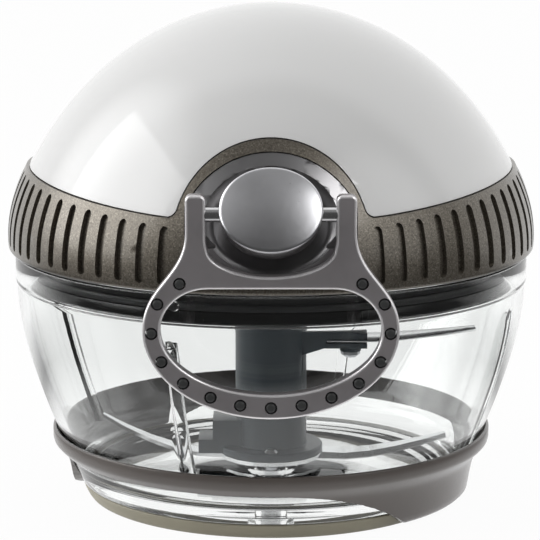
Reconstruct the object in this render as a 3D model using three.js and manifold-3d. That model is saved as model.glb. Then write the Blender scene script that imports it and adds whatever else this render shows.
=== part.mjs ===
// A hand food chopper worked by a pull cord. A clear bowl carries a steel pin on which the
// blade hub turns. The ball-shaped lid holds the cord reel, its coiled return spring and the
// clutch that turns the hub. A bail handle on the knob at the front pulls the cord out.
// Millimetres, +Z up, the front with the handle faces -Y. The origin is on the bowl's axis
// at the height of the table.

import * as THREE from 'three';
import { mergeVertices } from 'three/addons/utils/BufferGeometryUtils.js';
import Module from 'manifold-3d';

const wasm = await Module();
wasm.setup();

// Clearances
const seatGap = 0.3;
const runningGap = 0.3;
const overrun = 6;

// Bowl: outer side curve, walls and rim. The lid, the collar and the ball follow its shoulder
// radius, and all heights of the lid follow the top of its rim.
const bowlShoulderRadius = 77.6;
const rimTopZ = 76.5;
const bowlShoulderDepth = 10.5;
const bowlShoulderZ = rimTopZ - bowlShoulderDepth;
const bowlFootDraft = 21;
const bowlFootRadius = bowlShoulderRadius - bowlFootDraft;
const bowlSideSteps = 60;
const bowlUpperPull = 5.6;
const bowlBellyProud = 0.3;
const bowlBellyRadius = bowlShoulderRadius + bowlBellyProud;
const bowlBellyDepth = 20.4;
const bowlBellyZ = bowlShoulderZ - bowlBellyDepth;
const bowlWall = 3;
const bowlFloorZ = 9.5;
const bowlFloorThickness = 2.6;
const bowlFloorFillet = 6;
const rimProud = 0.6;
const rimRadius = bowlShoulderRadius + rimProud;
const rimStepDepth = 8.9;
const rimStepZ = rimTopZ - rimStepDepth;
const rimWall = 3.6;
const rimInnerRadius = rimRadius - rimWall;
const rimRound = 0.6;
const ribProud = 1.6;
const ribWidth = 2.2;
const ribTopDrop = 4;
const ribTopZ = bowlShoulderZ - ribTopDrop;
const ribAzimuths = [-22, 68, 158, 248];

// Spindle pin and the boss that holds it in the middle of the bowl's floor
const pinRadius = 3;
const bossWall = 4;
const bossRadius = pinRadius + bossWall;
const bossHeight = 4;
const bossTopZ = bowlFloorZ + bossHeight;
const bossUndersideZ = 1;
const pinSocketFloor = 1.8;
const pinSocketFloorZ = bossUndersideZ + pinSocketFloor;
const pinTipHeight = 1.6;

// Rubber foot ring under the bowl's skirt
const footRingHeight = 4.6;
const footRingFloor = 1.5;
const footRingInnerLip = 3.4;
const skirtTongue = 1.8;
const footRingWall = 1.5;

// Rubber boot round the bowl's base: a lip, a waist under it, and two lobes down to the foot
const bootLipProud = 1.5;
const bootLipZ = 21.4;
const bootLipThickness = 0.9;
const bootLipDepth = 3.9;
const bootLipFootProud = 0.2;
const bootWaistZ = 12.5;
const bootWaistThickness = 1.1;
const bootFootThickness = 3;
const bootInside = 2.2;
const bootBandZ = 15;
const bootLobeZ = 1.2;
const bootLobeStart = -5;
const bootLobeFull = 42;
const bootLobeEnd = 94;
const bootLobeStep = 2;
const bootLobePower = 2.4;

// Lid base, its seal, bushing and reel posts
const lidDepth = 9;
const lidPlateZ = rimTopZ - lidDepth;
const lidPlateThickness = 2.2;
const lidSkirtGap = 0.7;
const lidSkirtRadius = rimInnerRadius - lidSkirtGap;
const lidSkirtWall = 3;
const lidFlangeInset = 1.6;
const lidFlangeRadius = rimRadius - lidFlangeInset;
const lidFlangeThickness = 2.2;
const bushingWall = 3;
const bushingHeight = 10.5;
const bushingTopZ = lidPlateZ + bushingHeight;
const sealRise = 3.5;
const sealZ = lidPlateZ + sealRise;
const sealHeight = 2.6;
const sealDepth = 1.4;
const sealProud = 0.4;
const postRadius = 3.8;
const postAzimuths = [-60, 60, 180];
const screwRadius = 1.5;
const screwHole = 1.8;
const screwHeadRadius = 2.9;
const screwHeadHeight = 1.7;
const screwLength = 11;
const headCrownShare = 0.6;

// Blade hub, bushes and blades
const hubBossGap = 1.8;
const hubCavityRadius = bossRadius + hubBossGap;
const hubWall = 2.2;
const hubRadius = hubCavityRadius + hubWall;
const hubFloorGap = 0.9;
const hubBottomZ = bowlFloorZ + hubFloorGap;
const hubLidGap = 1.3;
const hubTopZ = lidPlateZ - hubLidGap;
const socketDepth = 12.2;
const socketFloorZ = hubTopZ - socketDepth;
const socketAcrossFlats = 11;
const hubWeb = 5.6;
const hubCavityTopZ = socketFloorZ - hubWeb;
const pinTopGap = 0.4;
const pinTopZ = hubCavityTopZ - pinTopGap;
const hubFlangeProud = 5;
const hubFlangeRadius = hubRadius + hubFlangeProud;
const hubFlangeRise = 2.2;
const hubFlangeZ = hubBottomZ + hubFlangeRise;
const hubFlangeThickness = 2.2;
const upperArmLength = 18.6;
const upperArmReach = hubRadius + upperArmLength;
const upperArmWidth = 11;
const upperArmGussetShare = 0.55;
const upperArmDrop = 3.2;
const upperArmBottomZ = hubCavityTopZ - upperArmDrop;
const upperArmHeight = 4.6;
const upperArmTopZ = upperArmBottomZ + upperArmHeight;
const lowerArmLength = 11.4;
const lowerArmReach = hubRadius + lowerArmLength;
const lowerArmWidth = 12;
const lowerArmHeight = 10.4;
const lowerArmTopZ = hubFlangeZ + lowerArmHeight;
const lowerArmStep = 4.4;
const bushLength = 9;
const lowerBushRise = 1.5;
const lowerBushZ = bossTopZ + lowerBushRise;
const upperBushDrop = 0.8;
const upperBushZ = hubCavityTopZ - upperBushDrop - bushLength;
const bladeThickness = 1.2;
const bladeStations = 7;
const bladeTaperShare = 0.72;
const bladeTaperPower = 2.4;
const bladeGroundShare = 0.34;
const bladeEdgeShare = 0.25;
const bladeLiftPower = 1.5;
const bladeScrewInset = 5;
const bladeScrewX = upperArmReach - bladeScrewInset;
const bladeRootInset = 7.4;
const upperBladeRoot = bladeScrewX - bladeRootInset;
const upperBladeTipGap = 8.3;
const upperBladeWidth = 13;
const upperBladeRise = 4.6;
const upperBladeSweep = 7;
const lowerBladeTipGap = 5.3;
const lowerBladeWidth = 12;
const lowerBladeRise = 8.5;
const lowerBladeSweep = 12;
const bladeScrewHead = 3;
const bladeScrewHeadHeight = 1.8;
const bladeScrewShank = 1.5;
const rivetRadius = 1.2;
const rivetHead = 2.1;
const rivetHeadHeight = 0.9;
const rivetInset = 2.4;
const rivetPlace = hubFlangeRadius - rivetInset;

// Grip collar: profile, seam with the dome, arch at the front and grip grooves
const collarFootRise = 0.5;
const collarFootZ = rimTopZ + collarFootRise;
const collarOverhang = 2;
const collarRadius = rimRadius + collarOverhang;
const collarHeight = 21;
const collarShoulderZ = collarFootZ + collarHeight;
const collarProud = 0.9;
const collarWall = 3.2;
const collarEdge = 1.4;
const collarBelly = 2.5;
const collarBellyShare = 1.005;
const collarBellyRiseShare = 0.43;
const collarUpperRiseShare = 0.72;
const seamDrop = 1.4;
const seamFrontZ = collarShoulderZ - seamDrop;
const seamRise = 6.9;
const archRadius = 27.5;
const archCentreRise = 14.4;
const archCentreZ = collarFootZ + archCentreRise;
const archFillet = 3.4;
const archBand = 0.5;
const openingRadius = archRadius - archBand;
const openingCentreRise = 11.7;
const openingCentreZ = collarFootZ + openingCentreRise;
const openingFloorRise = 3.6;
const openingFloorZ = collarFootZ + openingFloorRise;
const openingSideCut = 2.8;
const openingHalfWidth = openingRadius - openingSideCut;
const openingCorner = 7;
const grooveCount = 72;
const grooveWidth = 2.3;
const grooveDepth = 1;
const grooveLeanShare = 0.9;
const grooveFootRise = 3.2;
const grooveBottomZ = collarFootZ + grooveFootRise;
const grooveTopDrop = 2.4;
const grooveFreeAngle = 21.5;

// Dome cover: an ellipse turned about the axis, with a lap inside the collar
const ballProud = 4.8;
const domeRadius = collarRadius + ballProud;
const domeHeight = 97.65;
const ballCentreDrop = 44.65;
const domeCentreZ = collarShoulderZ - ballCentreDrop;
const domeWall = 3.4;
const domeLapDepth = 2.4;
const domeLapWall = 1.2;
const domeBossInset = 5.5;
const domeBossCircle = lidSkirtRadius - lidSkirtWall - domeBossInset;
const domeBossRadius = 4.2;
const domeBossAzimuths = [-100, 100, 180];
const domeScrewLength = 13;

// Pull axle and knob: the knob's axis tilts up with the ball's surface
const axleStandoff = 3.3;
const axleY = -collarRadius - axleStandoff;
const axleRise = 12.1;
const axleZ = openingCentreZ + axleRise;
const axleRadius = 2.05;
const knobTilt = THREE.MathUtils.degToRad(28);
const knobHalfWidth = 14.3;
const knobHalfHeight = 12.3;
const knobFaceOffset = 4.7;
const knobCapThickness = 1.7;
const knobCrown = 1.4;
const knobRearOffset = 4.4;
const knobBossRadius = 7;
const knobBossLength = 5;
const knobCrownShare = 0.93;
const knobRearShare = 0.9;
const knobSideShare = 0.97;

// Recess behind the knob
const bezelSink = 0.5;
const bezelThickness = 2.4;
const dishFloorOffset = 12.5;
const dishFloorHalfWidth = 18;
const dishFloorHalfHeight = 14.5;
const dishMouthInset = 0.8;
const dishMouthHalfWidth = openingHalfWidth - dishMouthInset;
const dishMouthHalfHeight = 18.6;
const dishMouthShift = 1.6;
const dishMouthOffset = 2.5;
const dishWall = 2;
const pocketInnerX = 15.4;
const pocketWidth = 7.2;
const pocketOuterX = pocketInnerX + pocketWidth;
const pocketDrop = 14.8;
const pocketBottomZ = axleZ - pocketDrop;
const pocketRise = 7.6;
const pocketTopZ = axleZ + pocketRise;
const pocketDepth = 2.6;

// Cord, its eyelet and its winding
const cordRadius = 1.2;
const cordDrop = 4;
const cordZ = axleZ - cordDrop;
const cordBore = 0.4;
const cordKnobInset = 3.9;
const cordEndY = axleY + cordKnobInset;
const eyeletRadius = 4.2;
const eyeletBore = 1.9;
const eyeletFlange = 1.2;
const eyeletLength = 5.4;
const windingDepth = 2.4;

// Handle: arms, cross-bar and ring, all from the axle
const handleThickness = 4.6;
const handleBevel = 0.8;
const armInnerX = 18;
const armWidth = 5.6;
const armOuterX = armInnerX + armWidth;
const axleEndCover = 2;
const axleHalfLength = armOuterX - axleEndCover;
const armTop = 5.6;
const armRound = 1.6;
const armStraight = -4.8;
const crossSide = -12.5;
const crossRound = 3;
const crossMiddle = -17.9;
const crossFrom = -65;
const crossDipShare = 0.75;
const ringCentre = -32.3;
const ringBand = 5;
const ringOuterHalfWidth = 35.6;
const ringOuterDrop = 25.2;
const ringInnerHalfWidth = ringOuterHalfWidth - ringBand;
const ringLowerBand = 7;
const ringInnerDrop = ringOuterDrop - ringLowerBand;
const holeTop = -20.6;
const holeTopHalfWidth = 17.5;
const nubCount = 15;
const nubRadius = 1.35;
const nubHoleGap = 0.4;
const nubHoleRadius = nubRadius + nubHoleGap;
const nubProud = 0.25;
const gripLineInset = 2.5;
const gripLineHalfWidth = ringOuterHalfWidth - gripLineInset;
const gripLineLift = 3.3;
const gripLineDrop = ringOuterDrop - gripLineLift;
const gripLineEndX = 25.2;
const gripLineEndRise = 13.3;
const gripLineBulgeX = 29.8;
const gripLineBulgeRise = 11.4;
const gripLinePull = 6.6;
const gripStripWidth = 3.2;
const gripStripThickness = 1.2;

// Cord reel, clutch and return spring, stacked on the centre axle at the height of the cord
const reelAxleRadius = 3;
const reelAxleRise = 2.5;
const reelAxleBottomZ = lidPlateZ + reelAxleRise;
const spoolCordDrop = 8.2;
const spoolLowerFlangeZ = cordZ - spoolCordDrop;
const spoolFlangeThickness = 1.8;
const spoolFlangeRadius = 27;
const spoolFlangeProud = 7.7;
const spoolDrumRadius = spoolFlangeRadius - spoolFlangeProud;
const spoolDrumHeight = 13.4;
const spoolDrumWall = 2.2;
const spoolHubRadius = 6;
const spoolTopFlangeZ = spoolLowerFlangeZ + spoolFlangeThickness + spoolDrumHeight;
const spoolTopZ = spoolTopFlangeZ + spoolFlangeThickness;
const windingBuild = 2.7;
const windingRadius = spoolDrumRadius + windingBuild;
const ratchetInset = 5.5;
const ratchetRadius = spoolFlangeRadius - ratchetInset;
const ratchetWall = 2.4;
const ratchetDepth = 5.2;
const ratchetToothDepth = 2;
const ratchetTeeth = 12;
const clutchDiscGap = 1.6;
const clutchDiscRadius = ratchetRadius - ratchetWall - clutchDiscGap;
const clutchDiscThickness = 2.2;
const clutchDrop = 8.2;
const clutchDiscZ = spoolLowerFlangeZ - clutchDrop;
const couplingFloorGap = 1;
const couplingBottomZ = socketFloorZ + couplingFloorGap;
const couplingPlay = 0.6;
const couplingAcrossFlats = socketAcrossFlats - couplingPlay;
const journalProud = 0.3;
const journalRadius = couplingAcrossFlats / Math.sqrt(3) + journalProud;
const pawlInset = 5.5;
const pawlCircle = clutchDiscRadius - pawlInset;
const pawlPivotRadius = 2.4;
const pawlThickness = 2.8;
const pawlPinRadius = 1.1;
const pawlPinHeight = 3.2;
const pawlCount = 3;
const pawlTipWidth = 1;
const pawlLeanShare = 0.75;
const pawlRoundFrom = 120;
const pawlRoundTo = 345;
const housingRadius = 33;
const postStandoff = 4;
const postCircle = housingRadius + postStandoff;
const housingWall = 2;
const housingGap = 3.6;
const housingFloorZ = spoolTopZ + housingGap;
const housingFloor = 2;
const housingHeight = 13;
const housingEar = 5.2;
const housingCoverThickness = 1.8;
const springStrip = 0.8;
const springHeight = 8.6;
const springTurns = 4;
const retainerRadius = 5.4;
const retainerThickness = 1.2;
const retainerGroove = 0.8;
const axleStub = 3;

// Facets of the turned pieces
const wideFacets = 32;
const lidFacets = 32;
const bootStations = 18;
const bowlFacets = 32;
const midFacets = 18;
const smallFacets = 12;
const tinyFacets = 8;
const nubFacets = 6;

const TURN = Math.PI * 2;
const degrees = THREE.MathUtils.degToRad;

// A closed solid from a three.js geometry: its corners are merged and slivers dropped
function toSolid(geometry) {
  const bare = new THREE.BufferGeometry();
  bare.setAttribute('position', geometry.getAttribute('position'));
  bare.setIndex(geometry.index);
  const merged = mergeVertices(bare);
  const corners = [];
  for (let i = 0; i < merged.index.count; i += 3) {
    const [a, b, c] = [0, 1, 2].map((k) => merged.index.getX(i + k));
    if (a !== b && b !== c && c !== a) corners.push(a, b, c);
  }
  const mesh = new wasm.Mesh({
    numProp: 3,
    vertProperties: new Float32Array(merged.getAttribute('position').array),
    triVerts: new Uint32Array(corners),
  });
  return new wasm.Manifold(mesh);
}

function toGeometry(solid) {
  const mesh = solid.getMesh();
  const geometry = new THREE.BufferGeometry();
  geometry.setAttribute('position', new THREE.BufferAttribute(mesh.vertProperties, 3));
  geometry.setIndex(new THREE.BufferAttribute(mesh.triVerts, 1));
  const faceted = geometry.toNonIndexed();
  faceted.computeVertexNormals();
  return faceted;
}

// Turned about +Z. The closed profile of [radius, height] runs up its outer side first.
function turned(profile, facets, sweep = TURN) {
  const points = profile.map(([r, z]) => new THREE.Vector2(r, z));
  points.push(points[0].clone());
  return new THREE.LatheGeometry(points, facets, 0, sweep).rotateX(Math.PI / 2);
}

// Turned from a profile that starts and ends on the axis
function turnedSolid(profile, facets) {
  const points = profile.map(([r, z]) => new THREE.Vector2(r, z));
  return new THREE.LatheGeometry(points, facets).rotateX(Math.PI / 2);
}

// A flat outline in X and Z, made thick along +Y from the height of `from`
function slab(outline, from, to) {
  const shape = outline instanceof THREE.Shape ? outline : new THREE.Shape(outline);
  const geometry = new THREE.ExtrudeGeometry(shape, { depth: to - from, bevelEnabled: false });
  return geometry.rotateX(Math.PI / 2).translate(0, to, 0);
}

// A flat outline in X and Y, made thick along +Z
function plate(outline, bottom, top, curveSegments = tinyFacets) {
  const shape = outline instanceof THREE.Shape ? outline : new THREE.Shape(outline);
  const settings = { depth: top - bottom, bevelEnabled: false, curveSegments };
  return new THREE.ExtrudeGeometry(shape, settings).translate(0, 0, bottom);
}

function rod(radius, bottom, top, facets = smallFacets) {
  return turnedSolid([[0, bottom], [radius, bottom], [radius, top], [0, top]], facets);
}

function arcPoints(x, y, rx, ry, from, to, steps) {
  const arc = new THREE.EllipseCurve(x, y, rx, ry, degrees(from), degrees(to), to < from);
  return arc.getPoints(steps);
}

function bezierPoints(points, steps) {
  const [a, b, c, d] = points.map(([x, y]) => new THREE.Vector2(x, y));
  return new THREE.CubicBezierCurve(a, b, c, d).getPoints(steps);
}

function mirrored(points) {
  return points.map((p) => new THREE.Vector2(-p.x, p.y)).reverse();
}

function polygon(acrossFlats) {
  const radius = acrossFlats / Math.sqrt(3);
  const corners = Array.from({ length: 6 }, (_, i) => (i / 6) * TURN);
  return corners.map((a) => new THREE.Vector2(radius * Math.cos(a), radius * Math.sin(a)));
}

// A skin through rings of corners, closed into a loop or capped at both ends
function loft(rings, loop = false) {
  const count = rings[0].length;
  const geometry = new THREE.BufferGeometry().setFromPoints(rings.flat());
  const faces = [];
  const spans = loop ? rings.length : rings.length - 1;
  for (let i = 0; i < spans; i++) {
    const here = i * count;
    const next = ((i + 1) % rings.length) * count;
    for (let j = 0; j < count; j++) {
      const side = (j + 1) % count;
      faces.push(here + j, here + side, next + side, here + j, next + side, next + j);
    }
  }
  const last = (rings.length - 1) * count;
  for (let j = 1; !loop && j < count - 1; j++) {
    faces.push(0, j + 1, j, last, last + j, last + j + 1);
  }
  return geometry.setIndex(faces);
}

function atAzimuth(geometry, radius, azimuth) {
  const angle = degrees(azimuth);
  return geometry.clone().translate(radius * Math.sin(angle), -radius * Math.cos(angle), 0);
}

// Finishes and colours
function finish(color, roughness, metalness = 0) {
  return new THREE.MeshStandardMaterial({ color, roughness, metalness });
}

function clearPlastic() {
  const material = finish('#eef1ef', 0.08);
  material.transparent = true;
  material.opacity = 0.3;
  return material;
}

const glossWhite = () => finish('#e8e8e7', 0.12);
const bronzePlastic = () => finish('#867d6e', 0.5, 0.4);
const gunmetal = () => finish('#6a6869', 0.3, 0.8);
const satinSilver = () => finish('#a5a5a8', 0.25, 0.9);
const steel = () => finish('#b9bbbd', 0.2, 1);
const blackPlastic = () => finish('#161616', 0.15);
const slatePlastic = () => finish('#3a4046', 0.4);
const darkRubber = () => finish('#2f3030', 0.8);
const taupeRubber = () => finish('#544c47', 0.7);
const oliveRubber = () => finish('#8b8574', 0.7);
const naturalNylon = () => finish('#d9d6cc', 0.6);
const springSteel = () => finish('#6d7078', 0.35, 0.9);
const brass = () => finish('#b08d4a', 0.35, 0.9);
const cordFibre = () => finish('#d8d4c8', 0.9);

const chopper = new THREE.Group();
const knobGroup = new THREE.Group();
knobGroup.position.set(0, axleY, axleZ);
knobGroup.rotation.x = -knobTilt;
const handleGroup = new THREE.Group();
handleGroup.position.set(0, axleY, axleZ);
chopper.add(knobGroup, handleGroup);

function piece(name, shape, material, parent = chopper) {
  const geometry = shape.isBufferGeometry ? toGeometry(toSolid(shape)) : toGeometry(shape);
  const mesh = new THREE.Mesh(geometry, material);
  mesh.name = name;
  parent.add(mesh);
}

// Outer side of the bowl, from its foot up to the shoulder
const bowlSide = new THREE.CubicBezierCurve(
  new THREE.Vector2(bowlFootRadius, 0),
  new THREE.Vector2(bowlBellyRadius, bowlBellyZ),
  new THREE.Vector2(bowlShoulderRadius, bowlShoulderZ - bowlUpperPull),
  new THREE.Vector2(bowlShoulderRadius, bowlShoulderZ),
);
const bowlSidePoints = bowlSide.getPoints(bowlSideSteps);

function bowlRadiusAt(z) {
  const above = bowlSidePoints.findIndex((p) => p.y >= z);
  const high = bowlSidePoints[Math.max(above, 1)];
  const low = bowlSidePoints[Math.max(above, 1) - 1];
  return THREE.MathUtils.mapLinear(z, low.y, high.y, low.x, high.x);
}

function heights(from, to, steps) {
  return Array.from({ length: steps + 1 }, (_, i) => THREE.MathUtils.lerp(from, to, i / steps));
}

const sideSteps = 4;

// Heights of the corners of the bowl's outer side, close together round the boot
function bowlKnots(from) {
  return [...heights(from, bootLipZ, 3), ...heights(bootLipZ, bowlShoulderZ, 3).slice(1)];
}
const skirtTongueOuter = bowlRadiusAt(0) - footRingWall - seatGap;

function bowlBody() {
  const tongueInner = skirtTongueOuter - skirtTongue;
  const tongueBottom = footRingFloor + seatGap;
  const skirtBottom = footRingHeight + seatGap;
  const underFloor = bowlFloorZ - bowlFloorThickness;
  const outer = bowlKnots(skirtBottom).map((z) => [bowlRadiusAt(z), z]);
  const filletTop = bowlFloorZ + bowlFloorFillet;
  const inner = heights(bowlShoulderZ, filletTop, sideSteps - 1);
  const floorRadius = bowlRadiusAt(filletTop) - bowlWall - bowlFloorFillet;
  const fillet = arcPoints(floorRadius, filletTop, bowlFloorFillet, bowlFloorFillet, 0, -90, 2);
  const profile = [
    [tongueInner, tongueBottom],
    [skirtTongueOuter, tongueBottom],
    [skirtTongueOuter, skirtBottom],
    ...outer,
    [rimRadius, rimStepZ],
    [rimRadius, rimTopZ],
    [rimInnerRadius, rimTopZ],
    ...inner.map((z) => [bowlRadiusAt(z) - bowlWall, z]),
    ...fillet.slice(1).map((p) => [p.x, p.y]),
    [bossRadius, bowlFloorZ],
    [bossRadius, bossTopZ],
    [pinRadius + seatGap, bossTopZ],
    [pinRadius + seatGap, pinSocketFloorZ],
    [0, pinSocketFloorZ],
    [0, bossUndersideZ],
    [bossRadius, bossUndersideZ],
    [bossRadius, underFloor],
    [bowlRadiusAt(underFloor) - bowlWall * 2, underFloor],
    [tongueInner, skirtBottom],
  ];
  let body = toSolid(turned(profile, bowlFacets));
  const ribFoot = bowlFloorZ + bowlFloorFillet;
  const ribOutline = [
    ...heights(ribFoot, ribTopZ, sideSteps).map((z) => [bowlRadiusAt(z) - bowlWall / 2, z]),
    ...heights(ribTopZ - ribProud, ribFoot, sideSteps).map((z) => [
      bowlRadiusAt(z) - bowlWall - ribProud,
      z,
    ]),
  ].map(([x, y]) => new THREE.Vector2(x, y));
  for (const azimuth of ribAzimuths) {
    const rib = slab(ribOutline, -ribWidth / 2, ribWidth / 2);
    body = body.add(toSolid(rib.rotateZ(degrees(azimuth - 90))));
  }
  return body;
}

function footRing() {
  const channelOuter = skirtTongueOuter + seatGap;
  const channelInner = skirtTongueOuter - skirtTongue - seatGap;
  return turned(
    [
      [channelInner - footRingWall, 0],
      [bowlRadiusAt(0) - rimRound, 0],
      [bowlRadiusAt(rimRound), rimRound],
      [bowlRadiusAt(footRingHeight), footRingHeight],
      [channelOuter, footRingHeight],
      [channelOuter, footRingFloor],
      [channelInner, footRingFloor],
      [channelInner, footRingInnerLip],
      [channelInner - footRingWall, footRingInnerLip],
    ],
    bowlFacets,
  );
}

// Height of the boot's lower edge round the bowl, alike on both sides
function bootEdgeAt(azimuth) {
  const half = ((azimuth - bootLobeStart + 360) % 180) + bootLobeStart;
  if (half > bootLobeEnd) return bootBandZ;
  const share = Math.min((half - bootLobeStart) / (bootLobeFull - bootLobeStart), 1);
  return THREE.MathUtils.lerp(bootBandZ, bootLobeZ, share ** bootLobePower);
}

// Thickness of the boot on the bowl's side: fullest at the foot, thinnest at the waist
function bootThicknessAt(z) {
  if (z > bootWaistZ) {
    const lipFootZ = bootLipZ - bootLipDepth;
    const lipFoot = bowlRadiusAt(bootLipZ) + bootLipProud - bootLipFootProud;
    const full = lipFoot - bowlRadiusAt(lipFootZ) - seatGap;
    return THREE.MathUtils.mapLinear(z, bootWaistZ, lipFootZ, bootWaistThickness, full);
  }
  return THREE.MathUtils.mapLinear(z, bootWaistZ, 0, bootWaistThickness, bootFootThickness);
}

function baseBoot() {
  const lipRadius = bowlRadiusAt(bootLipZ) + bootLipProud;
  const azimuths = [];
  const even = (180 - bootLobeStep) / (bootStations - 2);
  for (const half of [0, 180]) {
    const from = half + bootLobeEnd + bootLobeStep;
    for (let i = 0; i < bootStations - 1; i++) azimuths.push(from + i * even);
  }
  const rings = azimuths.map((azimuth, place) => {
    const atEnd = place % (bootStations - 1) === bootStations - 2;
    const low = bootEdgeAt(atEnd ? azimuth - bootLobeStep / 2 : azimuth);
    const angle = degrees(azimuth);
    const inside = (z) => bowlRadiusAt(z) - bootInside;
    const side = heights(low, bootLipZ - bootLipDepth, 3).map((z) => [
      bowlRadiusAt(z) + seatGap + bootThicknessAt(z),
      z,
    ]);
    side[0][0] -= rimRound;
    const section = [
      [inside(low), low],
      ...side,
      [lipRadius, bootLipZ - bootLipThickness],
      [lipRadius - bootLipThickness / 2, bootLipZ],
      [inside(bootLipZ), bootLipZ],
      [inside((low + bootLipZ) / 2), (low + bootLipZ) / 2],
    ];
    const corners = section.map(
      ([r, z]) => new THREE.Vector3(r * Math.sin(angle), -r * Math.cos(angle), z),
    );
    return corners.reverse();
  });
  const profile = [0, ...bowlKnots(footRingHeight + seatGap)];
  const keepOut = profile.map((z) => [bowlRadiusAt(z) + seatGap, z]);
  const round = turnedSolid([[0, 0], ...keepOut, [0, bowlShoulderZ]], bowlFacets);
  return toSolid(loft(rings, true)).subtract(toSolid(round));
}

piece('bowl', bowlBody(), clearPlastic());
piece('foot_ring', footRing(), oliveRubber());
piece('base_boot', baseBoot(), taupeRubber());

piece(
  'spindle_pin',
  turnedSolid(
    [
      [0, pinSocketFloorZ + seatGap],
      [pinRadius, pinSocketFloorZ + seatGap],
      [pinRadius, pinTopZ - pinTipHeight],
      [pinRadius / 2, pinTopZ],
      [0, pinTopZ],
    ],
    smallFacets,
  ),
  steel(),
);

// Blade hub: a tube with a socket for the drive, a flange, and an arm for each blade
function bladeHub() {
  const tube = turned(
    [
      [hubCavityRadius, hubBottomZ],
      [hubRadius, hubBottomZ],
      [hubRadius, hubTopZ],
      [0, hubTopZ],
      [0, hubCavityTopZ],
      [hubCavityRadius, hubCavityTopZ],
    ],
    midFacets,
  );
  const flangeTop = hubFlangeZ + hubFlangeThickness;
  const inside = (hubRadius + hubCavityRadius) / 2;
  const flange = turned(
    [
      [inside, hubFlangeZ],
      [hubFlangeRadius, hubFlangeZ],
      [hubFlangeRadius, flangeTop - rimRound],
      [hubFlangeRadius - rimRound, flangeTop],
      [inside, flangeTop],
    ],
    midFacets,
  );
  const upperArm = slab(
    [
      [inside, upperArmBottomZ - hubFlangeThickness],
      [upperArmReach * upperArmGussetShare, upperArmBottomZ],
      [upperArmReach, upperArmBottomZ],
      [upperArmReach, upperArmTopZ - rimRound],
      [upperArmReach - rimRound, upperArmTopZ],
      [inside, upperArmTopZ + hubFlangeThickness],
    ].map(([x, y]) => new THREE.Vector2(x, y)),
    -upperArmWidth / 2,
    upperArmWidth / 2,
  );
  const lowerArm = slab(
    [
      [-inside, hubFlangeZ],
      [-inside, lowerArmTopZ],
      [-lowerArmReach + lowerArmStep, lowerArmTopZ],
      [-lowerArmReach + lowerArmStep, flangeTop + lowerArmStep / 2],
      [-lowerArmReach, flangeTop + lowerArmStep / 2],
      [-lowerArmReach, hubFlangeZ],
    ].map(([x, y]) => new THREE.Vector2(x, y)),
    -lowerArmWidth / 2,
    lowerArmWidth / 2,
  );
  const socket = plate(polygon(socketAcrossFlats), socketFloorZ, hubTopZ + overrun);
  const boreTop = upperArmTopZ - rimRound * 2;
  const screwBore = rod(bladeScrewShank + seatGap, hubCavityTopZ - overrun, boreTop, tinyFacets);
  let body = toSolid(tube);
  for (const part of [flange, upperArm, lowerArm]) body = body.add(toSolid(part));
  body = body.subtract(toSolid(socket));
  body = body.subtract(toSolid(screwBore.translate(bladeScrewX, 0, 0)));
  for (const side of [-1, 1]) {
    const hole = rod(rivetRadius + seatGap, hubFlangeZ - overrun, flangeTop + overrun, tinyFacets);
    body = body.subtract(toSolid(hole.translate(0, side * rivetPlace, 0)));
  }
  return body;
}

piece('blade_hub', bladeHub(), slatePlastic());

for (const [name, bottom] of [['hub_bush_lower', lowerBushZ], ['hub_bush_upper', upperBushZ]]) {
  const outer = hubCavityRadius - seatGap;
  const bush = [
    [pinRadius + runningGap, bottom],
    [outer, bottom],
    [outer, bottom + bushLength],
    [pinRadius + runningGap, bottom + bushLength],
  ];
  piece(name, turned(bush, midFacets), naturalNylon());
}

// One blade wing, swept back along its length and ground to an edge on its leading side
function bladeWing({ root, flat, tip, width, rise, sweep, z }) {
  const stations = heights(0, 1, bladeStations);
  const rings = stations.map((share) => {
    const x = THREE.MathUtils.lerp(root, tip, share);
    const taper = width * (1 - bladeTaperShare * share ** bladeTaperPower);
    const back = sweep * share ** 2;
    const lift = rise * Math.max((x - flat) / (tip - flat), 0) ** bladeLiftPower;
    const ground = taper * bladeGroundShare;
    const high = z + lift + bladeThickness;
    return [
      new THREE.Vector3(x, taper / 2 - back, z + lift),
      new THREE.Vector3(x, taper / 2 - back, high),
      new THREE.Vector3(x, -taper / 2 + ground - back, high),
      new THREE.Vector3(x, -taper / 2 - back, z + lift + bladeThickness * bladeEdgeShare),
      new THREE.Vector3(x, -taper / 2 - back, z + lift),
    ];
  });
  return toSolid(loft(rings));
}

function upperBlade() {
  const bladeZ = upperArmBottomZ - seatGap - bladeThickness;
  const wing = bladeWing({
    root: upperBladeRoot,
    flat: upperArmReach + seatGap,
    tip: bowlRadiusAt(bladeZ) - bowlWall - upperBladeTipGap,
    width: upperBladeWidth,
    rise: upperBladeRise,
    sweep: upperBladeSweep,
    z: bladeZ,
  });
  const hole = rod(bladeScrewShank + seatGap, bladeZ - overrun, bladeZ + overrun, tinyFacets);
  return wing.subtract(toSolid(hole.translate(bladeScrewX, 0, 0)));
}

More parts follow.
